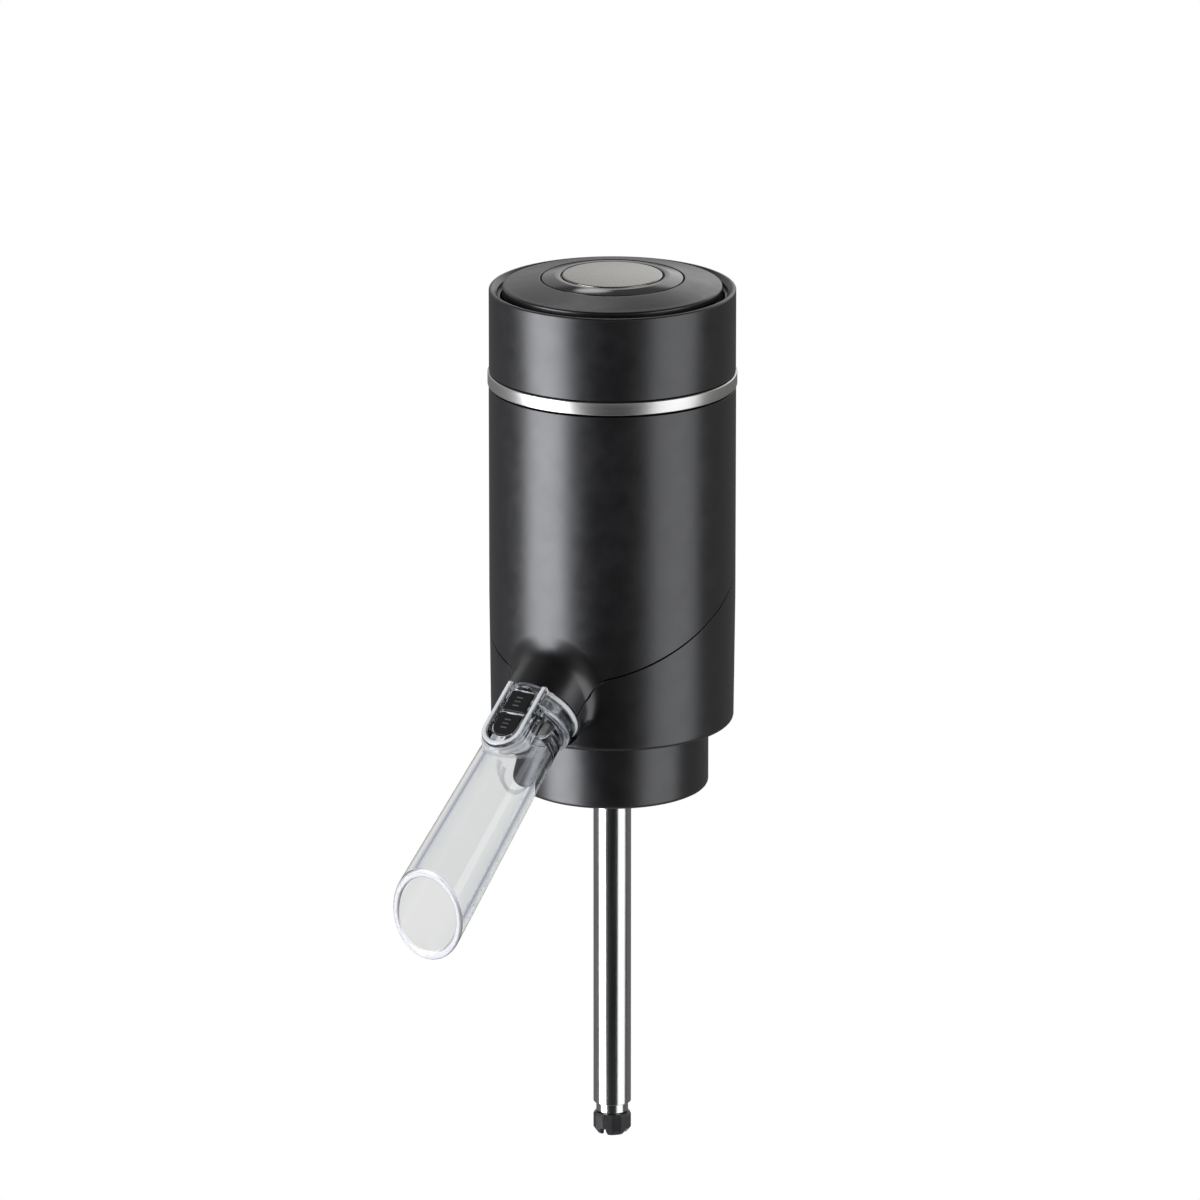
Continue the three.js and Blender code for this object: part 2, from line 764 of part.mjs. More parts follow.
// One stage of the dip tube; a stage slides in the one before it
const stageRadius = (stage) => tubeRadius - stage * (tubeWall + slide);
const stageTop = (stage) => -socketShoulder - seat - stage * tubeStep;
const stageFoot = (stage) => stageTop(stage) - tubeLength;
const tubeStage = (stage) =>
  pipe(stageRadius(stage), stageRadius(stage) - tubeWall, stageFoot(stage), stageTop(stage));

// A plastic foot on the last stage, notched so that a flat floor can't close it
function tubeFoot() {
  const last = stageRadius(2);
  const top = stageFoot(1) - seat;
  const foot = top - footLength;
  let shape = turned([
    [last - tubeWall, foot],
    [last + tubeWall, foot],
    [tubeRadius, foot + footChamfer],
    [tubeRadius, top - seat * 2],
    [tubeRadius - seat, top],
    [last + slide, top],
    [last + slide, stageFoot(2) - slide],
    [last - tubeWall, stageFoot(2) - slide],
  ], smallSides);
  for (const angle of spread(2)) {
    const notch = block(footNotch, tubeRadius * 3, foot - over, foot + footNotch);
    shape = shape.subtract(notch.rotate([0, 0, angle / degree / 2]));
  }
  return shape;
}

// Wine passage

// Straight up, round the bend and down the spout's axis, by arc length
class WinePath extends THREE.Curve {
  constructor(end) {
    super();
    this.rise = bendStart - elbowFoot;
    this.turn = bendRadius * bendTurn;
    this.run = end - bendTangent;
  }

  getPoint(t, target = new THREE.Vector3()) {
    const length = t * (this.rise + this.turn + this.run);
    if (length <= this.rise) return target.set(0, 0, elbowFoot + length);
    if (length <= this.rise + this.turn) {
      const angle = (length - this.rise) / bendRadius;
      return target.set(0, bendRadius * (Math.cos(angle) - 1), bendStart + bendRadius * Math.sin(angle));
    }
    const far = bendTangent + length - this.rise - this.turn;
    return target.set(0, -far * Math.cos(spoutPitch), spoutAxisHeight - far * Math.sin(spoutPitch));
  }
}

const flowElbow = () =>
  along(new WinePath(nozzleEnd - over), elbowRadius, elbowBore, elbowSteps, screwSides);

// Spout, in its own frame: +Z down its axis, +Y on its upper side. Its ring is a hollow shell that
// is open towards the nozzle.

function spoutBody() {
  const past = spoutMouth + spoutMouthRadius;
  const flare = (spoutMouthRadius - spoutRootRadius) / (spoutMouth - tubeStart);
  const pastRadius = spoutMouthRadius + flare * (past - spoutMouth);
  const root = ringStart - spigotLength;
  let spout = turned([
    [0, root],
    [spigotTubeRadius, root],
    [spigotTubeRadius, ringStart],
    [ringRadius - ringRound, ringStart],
    [ringRadius, ringStart + ringRound],
    [ringRadius, ringEnd - ringRound],
    [ringRadius - ringRound, ringEnd],
    [spoutRootRadius, tubeStart],
    [pastRadius, past],
    [0, past],
  ], middleSides);
  spout = spout.add(roundEndSlab(saddleHalfWidth, ringStart, saddleLength, 0, saddleHeight));
  spout = spout.add(roundEndSlab(rimHalfWidth, ringStart, rimLength, 0, rimHeight));
  spout = spout.subtract(turned([
    [0, root - over],
    [spigotTubeRadius - spigotTubeWall, root - over],
    [spigotTubeRadius - spigotTubeWall, ringStart + ringLength / 2],
    [spoutRootRadius - spoutWall, tubeStart],
    [pastRadius - spoutWall, past + over],
    [0, past + over],
  ], middleSides));
  const hollow = pipe(
    ringRadius - ringWall, spigotTubeRadius, ringStart - over, ringEnd - ringWall, middleSides,
  );
  for (const cut of [hollow, ...padForms(0)]) spout = spout.subtract(cut);
  const reach = spoutMouthRadius * 4;
  const beyond = block(reach, reach, 0, reach)
    .rotate([(spoutMouthTilt - spoutPitch) / degree, 0, 0]).translate([0, 0, spoutMouth]);
  return spout.subtract(beyond);
}

// The two pads, the further one with a rounded end; with a clearance they are the pads, and
// without it their pockets
function padForms(play) {
  const foot = rimHeight - padDepth + play;
  const top = play > 0 ? rimHeight - padSunk : rimHeight + over;
  const half = padHalfWidth - play;
  const start = ringStart + padStart;
  const first = block(2 * half, padLength - 2 * play, foot, top)
    .rotate([-90, 0, 0]).translate([0, 0, start + padLength / 2]);
  const second = roundEndSlab(
    half, start + padLength + padBar + play, padLength + padBar - 2 * play, foot, top,
  );
  return [first, second];
}

// Head

function trimBand() {
  const [foot, top] = [bodyTop + seat / 2, headFoot - seat / 2];
  const outer = bodyRadius + bandProud;
  return turned([
    [spigotRadius + seat, foot],
    [outer - bandProud / 2, foot],
    [outer, foot + bandProud],
    [outer, top - bandProud],
    [outer - bandProud / 2, top],
    [spigotRadius + seat, top],
  ]);
}

// The rim is bevelled inwards, then steps down to the ledge that carries the cover
function headShell() {
  const inner = headRadius - headWall + seat / 2;
  let shell = turned([
    [skirtRadius, headFoot],
    [headRadius - bodyEdge, headFoot],
    [headRadius, headFoot + bodyEdge],
    [headRadius, headTop - bodyEdge],
    [headRadius - bodyEdge, headTop],
    [headRadius - rimBevel, headTop],
    [inner, headTop - rimBevel],
    [inner, headTop - stepDrop],
    [inner - stepWidth, headTop - stepDrop],
    [inner - stepWidth, ledgeTop],
    [ledgeRadius, ledgeTop],
    [ledgeRadius, ledgeFoot],
    [skirtRadius, ledgeFoot],
  ]);
  for (const [x, y] of boardScrewPlaces) {
    const post = rod(boardPost, ledgeFoot - boardPostLength, ledgeTop - seat, screwSides);
    const hole = screwBore(ledgeFoot - boardPostLength - over, ledgeFoot);
    shell = shell.add(moved(post, x, y)).subtract(moved(hole, x, y));
  }
  return shell;
}

// A shallow dome with a skirt that stands on the ledge and a sleeve that guides the button
function topCover() {
  const skirtFoot = ledgeTop + seat;
  const edge = headTop + coverEdgeRise;
  const crown = edge + coverDomeRise;
  const hole = buttonRadius + buttonPlay;
  const chord = coverRadius - bodyEdge - hole;
  const dome = (from, height) => Array.from({ length: domeSteps + 1 }, (_, i) => {
    const share = i / domeSteps;
    return [from - chord * share, height + coverDomeRise * Math.sin(share * Math.PI / 2)];
  });
  return turned([
    [coverRadius - coverWall, skirtFoot],
    [coverRadius, skirtFoot],
    [coverRadius, edge - bodyEdge],
    ...dome(coverRadius - bodyEdge, edge),
    [hole, crown - buttonSkirt],
    [hole + coverWall, crown - buttonSkirt],
    [hole + coverWall, crown - coverWall - bodyEdge],
    [coverRadius - coverWall, edge - coverWall],
  ]);
}

// The gloss cap: bevelled shoulder, recess for the disc, retaining flange and a stem
function buttonCap() {
  const inset = buttonRadius - buttonBevel;
  const recess = discRadius + seat / 2;
  const recessFloor = buttonTop - discThickness - seat + discRise;
  return turned([
    [0, stemFoot],
    [plungerRadius + seat, stemFoot],
    [plungerRadius + seat, capCeiling],
    [buttonRadius - buttonWall, capCeiling],
    [buttonRadius - buttonWall, capFoot],
    [flangeRadius, capFoot],
    [flangeRadius, capFoot + buttonWall / 2],
    [buttonRadius, capFoot + buttonWall / 2],
    [buttonRadius, buttonTop - buttonBevelRise - seat],
    [buttonRadius - seat, buttonTop - buttonBevelRise],
    [inset, buttonTop],
    [recess, buttonTop],
    [recess, recessFloor],
    [0, recessFloor],
  ], shellSides);
}

function buttonDisc() {
  const top = buttonTop + discRise;
  return turned([
    [0, top - discThickness],
    [discRadius, top - discThickness],
    [discRadius, top - seat],
    [discRadius - seat, top],
    [0, top],
  ], shellSides);
}

// A coil from the board to the cap's ceiling, one unbroken strand
class Coil extends THREE.Curve {
  constructor(foot, top) {
    super();
    this.foot = foot;
    this.top = top;
  }

  getPoint(t, target = new THREE.Vector3()) {
    const angle = t * springTurns * 2 * Math.PI;
    return target.set(
      springRadius * Math.cos(angle), springRadius * Math.sin(angle),
      this.foot + t * (this.top - this.foot),
    );
  }
}

function buttonSpring() {
  const coil = new Coil(boardTop + seat + springWire, capCeiling - seat - springWire);
  return along(coil, springWire, 0, springTurns * coilSteps, screwSides / 2);
}

function switchBody() {
  const top = boardTop + seat + switchHeight;
  const pocket = rod(plungerRadius + slide, switchPocketFoot, top + over, screwSides);
  return block(switchSize, switchSize, boardTop + seat, top).subtract(pocket);
}

const switchPlunger = () =>
  rod(plungerRadius, switchPocketFoot + buttonTravel + seat, stemFoot - seat, screwSides);

function buttonBoard() {
  let board = rod(boardRadius, boardTop - boardThickness, boardTop, middleSides);
  for (const [x, y] of boardScrewPlaces) {
    board = board.subtract(
      moved(screwBore(boardTop - boardThickness - over, boardTop + over), x, y),
    );
  }
  return board;
}

// Pump

const pumpOutline = () => roundedOutline(pumpSize, pumpSize, pumpCorner);

// A square slice of the pump with the holes of its four long screws
function pumpSlice(foot, top) {
  let slice = moved(prism(pumpOutline(), foot, top), 0, pumpY);
  for (const [x, y] of pumpScrewPlaces) {
    slice = slice.subtract(moved(screwBore(foot - over, top + over), x, y));
  }
  return slice;
}

// The end cover, with the outlet nipple that points down through the frame's plate
function pumpCover() {
  const top = pumpCoverFoot + pumpCoverHeight;
  let cover = pumpSlice(pumpCoverFoot, top);
  for (const [x, y] of pumpScrewPlaces) {
    cover = cover.subtract(moved(
      rod(screwHead + seat, pumpCoverFoot - over, pumpCoverFoot + screwHeadHeight + seat,
        screwSides), x, y,
    ));
  }
  const nipple = rod(nippleRadius, nippleFoot, pumpCoverFoot + pumpCoverHeight / 4);
  const bore = rod(nippleBore, nippleFoot - over, top + over, screwSides);
  return cover.add(moved(nipple, nippleX, nippleY)).subtract(moved(bore, nippleX, nippleY));
}

function valvePlate() {
  const top = valvePlateFoot + valvePlateHeight;
  let plate = pumpSlice(valvePlateFoot, top);
  for (const angle of spread(diaphragmCups, Math.PI / 2)) {
    const [x, y] = [cupCircle * Math.cos(angle), pumpY + cupCircle * Math.sin(angle)];
    const port = rod(nippleRadius, valvePlateFoot - over, top + over, screwSides);
    plate = plate.subtract(moved(port, x, y));
  }
  return plate;
}

// A rubber sheet with hollow cups, which the wobble plate squeezes in turn
function diaphragm() {
  let sheet = pumpSlice(diaphragmFoot, diaphragmTop);
  for (const angle of spread(diaphragmCups, Math.PI / 2)) {
    const [x, y] = [cupCircle * Math.cos(angle), pumpY + cupCircle * Math.sin(angle)];
    const cup = turned([
      [0, diaphragmFoot],
      [cupRadius, diaphragmFoot],
      [cupRadius, diaphragmTop + cupHeight / 2],
      [cupRadius / 2, diaphragmTop + cupHeight],
      [0, diaphragmTop + cupHeight],
    ], smallSides);
    const hollow = rod(cupRadius - cupWall, diaphragmFoot - over,
      diaphragmTop + cupHeight / 2 - cupWall);
    sheet = sheet.add(moved(cup, x, y)).subtract(moved(hollow, x, y));
  }
  return sheet;
}

function pumpChamber() {
  const chamber = pumpSlice(chamberFoot, chamberTop);
  const bore = rod(chamberBore, chamberFoot - over, chamberTop - chamberRoof, middleSides);
  const neck = rod(motorBoss + seat, chamberFoot, chamberTop + over);
  return chamber.subtract(moved(bore.add(neck), 0, pumpY));
}

function wobblePlate() {
  const plate = rod(wobbleRadius, wobbleFoot, wobbleTop, smallSides)
    .add(rod(wobblePin, wobbleFoot, wobbleTop + wobblePinLength));
  return moved(plate, 0, pumpY);
}

// The hub on the motor's shaft, whose offset pocket drives the wobble plate's pin
function driveEccentric() {
  const pocket = rod(eccentricPocket, eccentricFoot - over, eccentricFoot + eccentricPocketDepth);
  const shaftHole = rod(shaftRadius + slide / 2, eccentricTop - shaftGrip, eccentricTop + over);
  const hub = rod(eccentricRadius, eccentricFoot, eccentricTop)
    .subtract(moved(pocket, eccentricThrow, 0)).subtract(shaftHole);
  return moved(hub, 0, pumpY);
}

const motorShaft = () => moved(rod(shaftRadius, shaftFoot, shaftTop), 0, pumpY);

function motorCan() {
  const can = turned([
    [0, chamberTop - chamberRoof + seat],
    [motorBoss, chamberTop - chamberRoof + seat],
    [motorBoss, motorFoot],
    [motorRadius - bodyEdge, motorFoot],
    [motorRadius, motorFoot + bodyEdge],
    [motorRadius, motorTop],
    [0, motorTop],
  ], middleSides);
  const bore = rod(shaftRadius + slide, chamberFoot, shaftTop + slide);
  return moved(can.subtract(bore), 0, pumpY);
}

const motorEndCap = () => moved(turned([
  [0, endCapFoot],
  [motorRadius, endCapFoot],
  [motorRadius, endCapFoot + endCapHeight / 2],
  [motorRadius - endCapHeight / 2, endCapTop],
  [0, endCapTop],
], middleSides), 0, pumpY);

const motorDamper = () =>
  moved(pipe(motorRadius - endCapHeight / 2, motorRadius / 2, damperFoot, damperTop), 0, pumpY);

function cell() {
  const top = cellTop - cupHeight / 4;
  return moved(turned([
    [0, cellFoot],
    [cellRadius - seat, cellFoot],
    [cellRadius, cellFoot + seat],
    [cellRadius, top - seat],
    [cellRadius - seat, top],
    [cellRadius / 3, top],
    [cellRadius / 3, cellTop],
    [0, cellTop],
  ], smallSides), 0, cellY);
}

// Inner frame: lower plate on four pillars, two rails and an upper plate, with half cups
// that hold the cell at both ends
function innerFrame() {
  const plateRadius = cavityRadius - plateClearance;
  const upperRadius = spigotBore - plateClearance;
  const inPlate = plateThickness / 2;
  const cup = (foot, top, limit) =>
    moved(pipe(cellRadius + seat + cupRingWall, cellRadius + seat, foot, top), 0, cellY)
      .intersect(rod(limit, foot, top, middleSides));
  let frame = rod(plateRadius, plateFoot, plateTop, middleSides);
  frame = frame.add(rod(upperRadius, upperPlateFoot, upperPlateTop, middleSides));
  frame = frame.add(cup(plateTop - inPlate, plateTop + cupRingHeight, plateRadius));
  frame = frame.add(cup(cellTop - cupRingHeight, upperPlateFoot + inPlate, upperRadius));
  for (const side of [-1, 1]) {
    const rail = block(railThickness, railWidth, plateTop - inPlate, upperPlateFoot + inPlate);
    frame = frame.add(moved(rail, side * railX, 0));
    frame = frame.subtract(
      moved(screwBore(upperPlateFoot - over, upperPlateTop + over), side * bossX, 0),
    );
  }
  for (const [x, y] of pillarPlaces) {
    frame = frame.add(moved(rod(pillarRadius, roofTop + seat, plateTop - inPlate), x, y));
    frame = frame.subtract(
      moved(screwBore(roofTop, roofTop + pillarScrewLength + over), x, y),
    );
  }
  frame = frame.subtract(moved(
    rod(hoseRadius + 2 * seat, plateFoot - over, plateTop + over), nippleX, nippleY,
  ));
  frame = frame.subtract(moved(
    rod(wireRadius + 2 * seat, plateFoot - over, upperPlateTop + over, screwSides), wireX, wireY,
  ));
  frame = frame.subtract(moved(
    rod(motorRadius / 2, upperPlateFoot - over, upperPlateTop + over), 0, pumpY,
  ));
  return frame;
}

// Air line: a check valve on the socket's nipple and a short hose up to the pump

function checkValve() {
  const top = valveFoot + valveHeight;
  const valve = turned([
    [0, valveFoot],
    [valveRadius - seat, valveFoot],
    [valveRadius, valveFoot + seat],
    [valveRadius, valveFoot + valveHeight / 3],
    [valveRadius - seat * 2, valveFoot + valveHeight / 2],
    [valveRadius, top - valveHeight / 3],
    [valveRadius, top - seat],
    [nippleRadius, top],
    [nippleRadius, top + nippleRadius * 2],
    [0, top + nippleRadius * 2],
  ], smallSides);
  const mouth = rod(nippleRadius + slide, valveFoot - over, valveFoot + valveHeight / 4 + slide);
  const bore = rod(nippleBore, valveFoot - over, top + valveHeight, screwSides);
  return moved(valve.subtract(mouth).subtract(bore), airPortX, 0);
}

function airHose() {
  const foot = valveFoot + valveHeight + seat;
  const top = pumpCoverFoot - seat;
  const route = new Sidestep(
    new THREE.Vector3(airPortX, 0, foot), new THREE.Vector3(nippleX, nippleY, top), nippleRadius * 2,
  );
  return along(route, hoseRadius, hoseRadius - hoseWall, hoseSteps, screwSides);
}

// Electrics

function chargeBoard() {
  let board = moved(
    block(chargeBoardWidth, chargeBoardFront - chargeBoardBack, chargeBoardFoot, chargeBoardTop),
    0, (chargeBoardFront + chargeBoardBack) / 2,
  );
  for (const side of [-1, 1]) {
    board = board.subtract(moved(
      screwBore(chargeBoardFoot - over, chargeBoardTop + over), side * chargePostX, chargePostY,
    ));
  }
  return board;
}

// The receptacle: a thin rounded shell, closed at the back, with a tongue inside
function chargePort() {
  const mouth = bodyRadius - portInset;
  const back = mouth - portLength;
  const shell = portSlot(0, back, mouth);
  const hollow = portSlot(-portWall, back + portWall * 2, mouth + over);
  const tongueLength = portLength * tongueLengthShare;
  const tongue = moved(
    block(portWidth * tongueWidthShare, tongueLength, -tongueThickness / 2, tongueThickness / 2),
    0, back + tongueLength / 2, portMiddle,
  );
  return shell.subtract(hollow).add(tongue);
}

function wireLoom() {
  const bend = new Sidestep(
    new THREE.Vector3(wireStartX, wireStartY, chargeBoardTop + seat),
    new THREE.Vector3(wireX, wireY, plateFoot), wireRadius * 2,
  );
  const rise = new THREE.LineCurve3(
    new THREE.Vector3(wireX, wireY, plateFoot),
    new THREE.Vector3(wireX, wireY, boardTop - boardThickness - seat),
  );
  const route = new THREE.CurvePath();
  route.add(bend);
  route.add(rise);
  return along(route, wireRadius, 0, wireSteps, screwSides - 2);
}

// Finishes, each with its colour, roughness and metalness
const clearOpacity = 0.35;
const finishes = {
  softBlack: [0x17181a, 0.62, 0],
  glossBlack: [0x0b0b0c, 0.12, 0],
  satinBlack: [0x141415, 0.4, 0],
  steel: [0xb9b8b4, 0.3, 1],
  warmSteel: [0x9b958f, 0.38, 1],
  clear: [0xe9eef0, 0.05, 0],
  rubber: [0x1d1d1e, 0.85, 0],
  whiteRubber: [0xd9d8d2, 0.7, 0],
  frame: [0x2c2d30, 0.7, 0],
  pumpPlastic: [0xe4e2dc, 0.5, 0],
  board: [0x1d5b3a, 0.45, 0],
  cell: [0x2a6fb0, 0.35, 0],
  wire: [0x9b1c1c, 0.5, 0],
};

const aerator = new THREE.Group();
const spoutFrame = new THREE.Group();
spoutFrame.rotation.x = bendTurn;
spoutFrame.position.z = spoutAxisHeight;
aerator.add(spoutFrame);

function piece(name, shape, finish, parent = aerator) {
  const [color, roughness, metalness] = finishes[finish];
  const material = new THREE.MeshStandardMaterial({ color, roughness, metalness });
  if (finish === 'clear') {
    material.transparent = true;
    material.opacity = clearOpacity;
  }
  const mesh = new THREE.Mesh(geometryOf(shape), material);
  mesh.name = name;
  parent.add(mesh);
}

function screws(name, places, length, height, pointingUp, finish = 'steel') {
  places.forEach(([x, y], i) => {
    const upright = screwShape(length);
    const shape = pointingUp ? upright.rotate([180, 0, 0]) : upright;
    piece(`${name}_${i + 1}`, moved(shape, x, y, height), finish);
  });
}

const shell = housingShell();
piece('upper_housing', shell.subtract(belowSeam(seamGap / 2)), 'softBlack');
piece('lower_housing', shell.intersect(belowSeam(-seamGap / 2)), 'softBlack');
piece('neck_collar', neckCollar(), 'softBlack');
piece('bottle_stopper', bottleStopper(), 'rubber');
piece('tube_socket', tubeSocket(), 'satinBlack');
piece('socket_seal', sealRing(sealRadius, sealSection, sealHeight), 'rubber');
piece('dip_tube_upper', tubeStage(0), 'steel');
piece('dip_tube_middle', tubeStage(1), 'steel');
piece('dip_tube_lower', tubeStage(2), 'steel');
piece('dip_tube_foot', tubeFoot(), 'satinBlack');

piece('trim_band', trimBand(), 'steel');
piece('head_shell', headShell(), 'softBlack');
piece('top_cover', topCover(), 'satinBlack');
piece('button_cap', buttonCap(), 'glossBlack');
piece('button_disc', buttonDisc(), 'warmSteel');
piece('button_spring', buttonSpring(), 'steel');
piece('switch_body', switchBody(), 'satinBlack');
piece('switch_plunger', switchPlunger(), 'pumpPlastic');
piece('button_board', buttonBoard(), 'board');

piece('inner_frame', innerFrame(), 'frame');
piece('pump_cover', pumpCover(), 'pumpPlastic');
piece('valve_plate', valvePlate(), 'pumpPlastic');
piece('diaphragm', diaphragm(), 'whiteRubber');
piece('pump_chamber', pumpChamber(), 'pumpPlastic');
piece('wobble_plate', wobblePlate(), 'satinBlack');
piece('drive_eccentric', driveEccentric(), 'pumpPlastic');
piece('motor_shaft', motorShaft(), 'steel');
piece('motor_can', motorCan(), 'steel');
piece('motor_end_cap', motorEndCap(), 'satinBlack');
piece('motor_damper', motorDamper(), 'rubber');
piece('battery_cell', cell(), 'cell');

piece('flow_elbow', flowElbow(), 'whiteRubber');
piece('check_valve', checkValve(), 'pumpPlastic');
piece('air_hose', airHose(), 'whiteRubber');
piece('charge_board', chargeBoard(), 'board');
piece('charge_port', chargePort(), 'steel');
piece('wire_loom', wireLoom(), 'wire');

piece('spout', spoutBody(), 'clear', spoutFrame);
padForms(seat / 2).forEach((pad, i) => {
  piece(`spout_pad_${i + 1}`, pad, 'rubber', spoutFrame);
});
const elbowSealSection = (spigotTubeRadius - spigotTubeWall - elbowRadius) / 2 - slide / 2;
piece('spout_seal', sealRing(
  elbowRadius + slide / 2 + elbowSealSection, elbowSealSection, nozzleEnd - spigotLength / 2,
), 'rubber', spoutFrame);

screws('frame_screw', pillarPlaces, pillarScrewLength, roofFoot + screwHeadHeight + seat, true);
screws('housing_screw', [[-bossX, 0], [bossX, 0]], plateThickness + bossRadius, upperPlateTop, false);
screws('socket_screw', socketScrewPlaces, socketFlangeTop - roofFoot - 2 * seat, socketFlangeTop, false);
screws('board_screw', boardScrewPlaces, boardThickness + boardPost, boardTop - boardThickness, true);
screws('pump_screw', pumpScrewPlaces, pumpScrewLength, pumpCoverFoot + screwHeadHeight + seat / 2, true);
screws('charge_screw', [[-chargePostX, chargePostY], [chargePostX, chargePostY]],
  boardThickness + chargePostHeight / 2, chargeBoardTop, false);

export default aerator;
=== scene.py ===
"""An electric wine aerator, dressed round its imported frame.

Lengths here are millimetres. put() turns them into metres when a mesh is made.
"""

import json
import math

import bpy
import numpy as np
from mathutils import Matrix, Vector

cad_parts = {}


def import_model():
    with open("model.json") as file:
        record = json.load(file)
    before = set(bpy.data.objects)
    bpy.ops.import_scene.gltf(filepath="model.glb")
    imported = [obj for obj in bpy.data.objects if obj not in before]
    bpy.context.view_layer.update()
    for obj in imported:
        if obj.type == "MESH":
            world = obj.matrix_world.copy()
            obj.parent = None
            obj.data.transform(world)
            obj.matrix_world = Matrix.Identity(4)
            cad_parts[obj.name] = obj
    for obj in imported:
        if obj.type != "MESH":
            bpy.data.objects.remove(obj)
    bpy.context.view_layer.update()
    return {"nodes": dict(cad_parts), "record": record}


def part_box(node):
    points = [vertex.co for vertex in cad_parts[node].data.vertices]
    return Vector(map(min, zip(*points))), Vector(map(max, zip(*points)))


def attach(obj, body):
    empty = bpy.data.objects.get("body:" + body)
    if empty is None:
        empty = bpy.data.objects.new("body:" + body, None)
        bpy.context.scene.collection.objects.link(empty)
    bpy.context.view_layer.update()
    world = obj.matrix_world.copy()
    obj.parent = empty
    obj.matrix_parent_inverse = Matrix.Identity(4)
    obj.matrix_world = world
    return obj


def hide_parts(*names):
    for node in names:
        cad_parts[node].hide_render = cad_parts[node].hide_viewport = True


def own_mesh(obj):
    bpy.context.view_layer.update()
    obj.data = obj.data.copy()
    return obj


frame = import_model()

MM = 0.001


def reach(node):
    """Foot, top and radius of a piece that is centred on the body's axis."""
    low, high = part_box(node)
    return low.z / MM, high.z / MM, high.x / MM


# Sizes read from the frame
lower_foot, _, body_radius = reach("lower_housing")
band_foot, band_top, band_radius = reach("trim_band")
head_foot, head_top, head_radius = reach("head_shell")
cover_foot, cover_top, cover_radius = reach("top_cover")
cap_foot, cap_top, flange_radius = reach("button_cap")
disc_foot, disc_top, disc_radius = reach("button_disc")
collar_foot, _, retainer_radius = reach("neck_collar")
stopper_foot, stopper_top, stopper_radius = reach("bottle_stopper")

# Body and seam
clearance = 0.3
hairline = 0.15
body_top = band_foot - hairline
body_edge = 0.35
draft = 0.3
foot_radius = body_radius - draft
foot_round = 1.1
wall, foot_wall = 2.2, 0.9
head_wall = 1.9
seam_height = 24.7
seam_slope = math.radians(27)
seam_gap, seam_round, seam_blend = 0.26, 0.1, 2.0
collar_radius, collar_wall = 20.3, 2.0
collar_hole = collar_radius + clearance
passage_radius = 5.9

# Nozzle and spout, measured down the spout's own axis from the body's axis
pitch = math.radians(35)
exit_height = 8.11
axis_height = exit_height + body_radius * math.tan(pitch)
nozzle_radius, nozzle_reach = 9.0, 3.4
nozzle_end = body_radius / math.cos(pitch) + nozzle_reach
nozzle_start, wedge_start = nozzle_end / 3, nozzle_end / 2
nozzle_fillet, least_fillet = 2.4, 0.12
nozzle_seam = 0.6
wedge_slope, wedge_edge = 0.5, 0.01
ring_radius, ring_wall, ring_rise, ring_length = 8.5, 0.9, 0.5, 4.6
ring_start = nozzle_end + clearance
ring_end = ring_start + ring_length
bead_inset, bead_place, bead_radius, bead_blend = 0.3, 0.55, 0.6, 0.1
spigot_length, spigot_radius, spigot_bore, spigot_neck = 7.8, 6.0, 4.7, 3.9
root_radius, mouth_radius, spout_wall = 7.3, 8.4, 1.6
tube_inset, flare_inset, spout_length = 1.6, 9.3, 55.8
tube_top = ring_start + tube_inset
flare_start = ring_start + flare_inset
mouth = nozzle_end + spout_length
mouth_tilt = math.radians(2.7)
mouth_slope = pitch - mouth_tilt
flare = (mouth_radius - root_radius) / (mouth - flare_start)

# The raised frame, its saddle and its pads
saddle_half, saddle_top, saddle_length = 5.3, 7.6, 17.6
saddle_end = ring_start + saddle_length
rim_half, rim_top, rim_length = 4.7, 9.35, 16.9
rim_end = ring_start + rim_length
rim_centre = rim_end - rim_half
lip_half, lip_height = 3.5, 0.4
overrun = 1
pad_half, pad_start, pad_length, pad_gap, pad_corner = 2.75, 2.0, 5.6, 0.45, 0.5
pad_depth, pad_sunk, pad_play = 1.2, 0.3, 0.15
bar_half, bar_width, bar_pitch, bar_rise, bar_corner = 0.8, 0.34, 1.05, 0.15, 0.12
bars_shift = 0.3

# Roundings of the spout's edges and joins
crisp, small, soft, rim_round, broad = 0.25, 0.3, 0.4, 0.45, 0.6

across = np.array([1.0, 0.0, 0.0])
upper = np.array([0.0, -math.sin(pitch), math.cos(pitch)])
down_axis = np.array([0.0, -math.cos(pitch), -math.sin(pitch)])
spout_axes = np.stack([across, upper, down_axis])
axis_start = np.array([0.0, 0.0, axis_height])

# Mesh fineness
lathe_sides, plug_sides, tube_sides = 192, 128, 72
body_cell, spout_cell, pad_cell = 0.45, 0.18, 0.11
tube_step = 0.6
normal_step = 0.01
tiny, least_length = 1e-6, 1e-9


# Distance fields

def join(a, b, fillet):
    """Union of two fields with a round fillet between them."""
    fillet = np.maximum(fillet, tiny)
    corner = np.hypot(np.maximum(fillet - a, 0), np.maximum(fillet - b, 0))
    return np.maximum(fillet, np.minimum(a, b)) - corner


def common(a, b, edge):
    """Intersection of two fields with a round edge."""
    return -join(-a, -b, edge)


def between(value, low, high):
    """Distance outside a span."""
    return np.abs(value - (low + high) / 2) - (high - low) / 2


def box_plan(x, far, half, start, end, corner):
    """Distance outside a rounded rectangle across and down the spout."""
    middle, length = (start + end) / 2, (end - start) / 2
    dx = np.abs(x) - half + corner
    df = np.abs(far - middle) - length + corner
    outside = np.hypot(np.maximum(dx, 0), np.maximum(df, 0))
    return outside + np.minimum(np.maximum(dx, df), 0) - corner


def bullet_plan(x, far, half, start, end):
    """Distance outside a slab that starts straight and ends in a half circle."""
    centre = end - half
    body = np.where(far > centre, np.hypot(x, far - centre) - half, np.abs(x) - half)
    return np.maximum(body, start - far)


def parts_of(points):
    return points[..., 0], points[..., 1], points[..., 2]


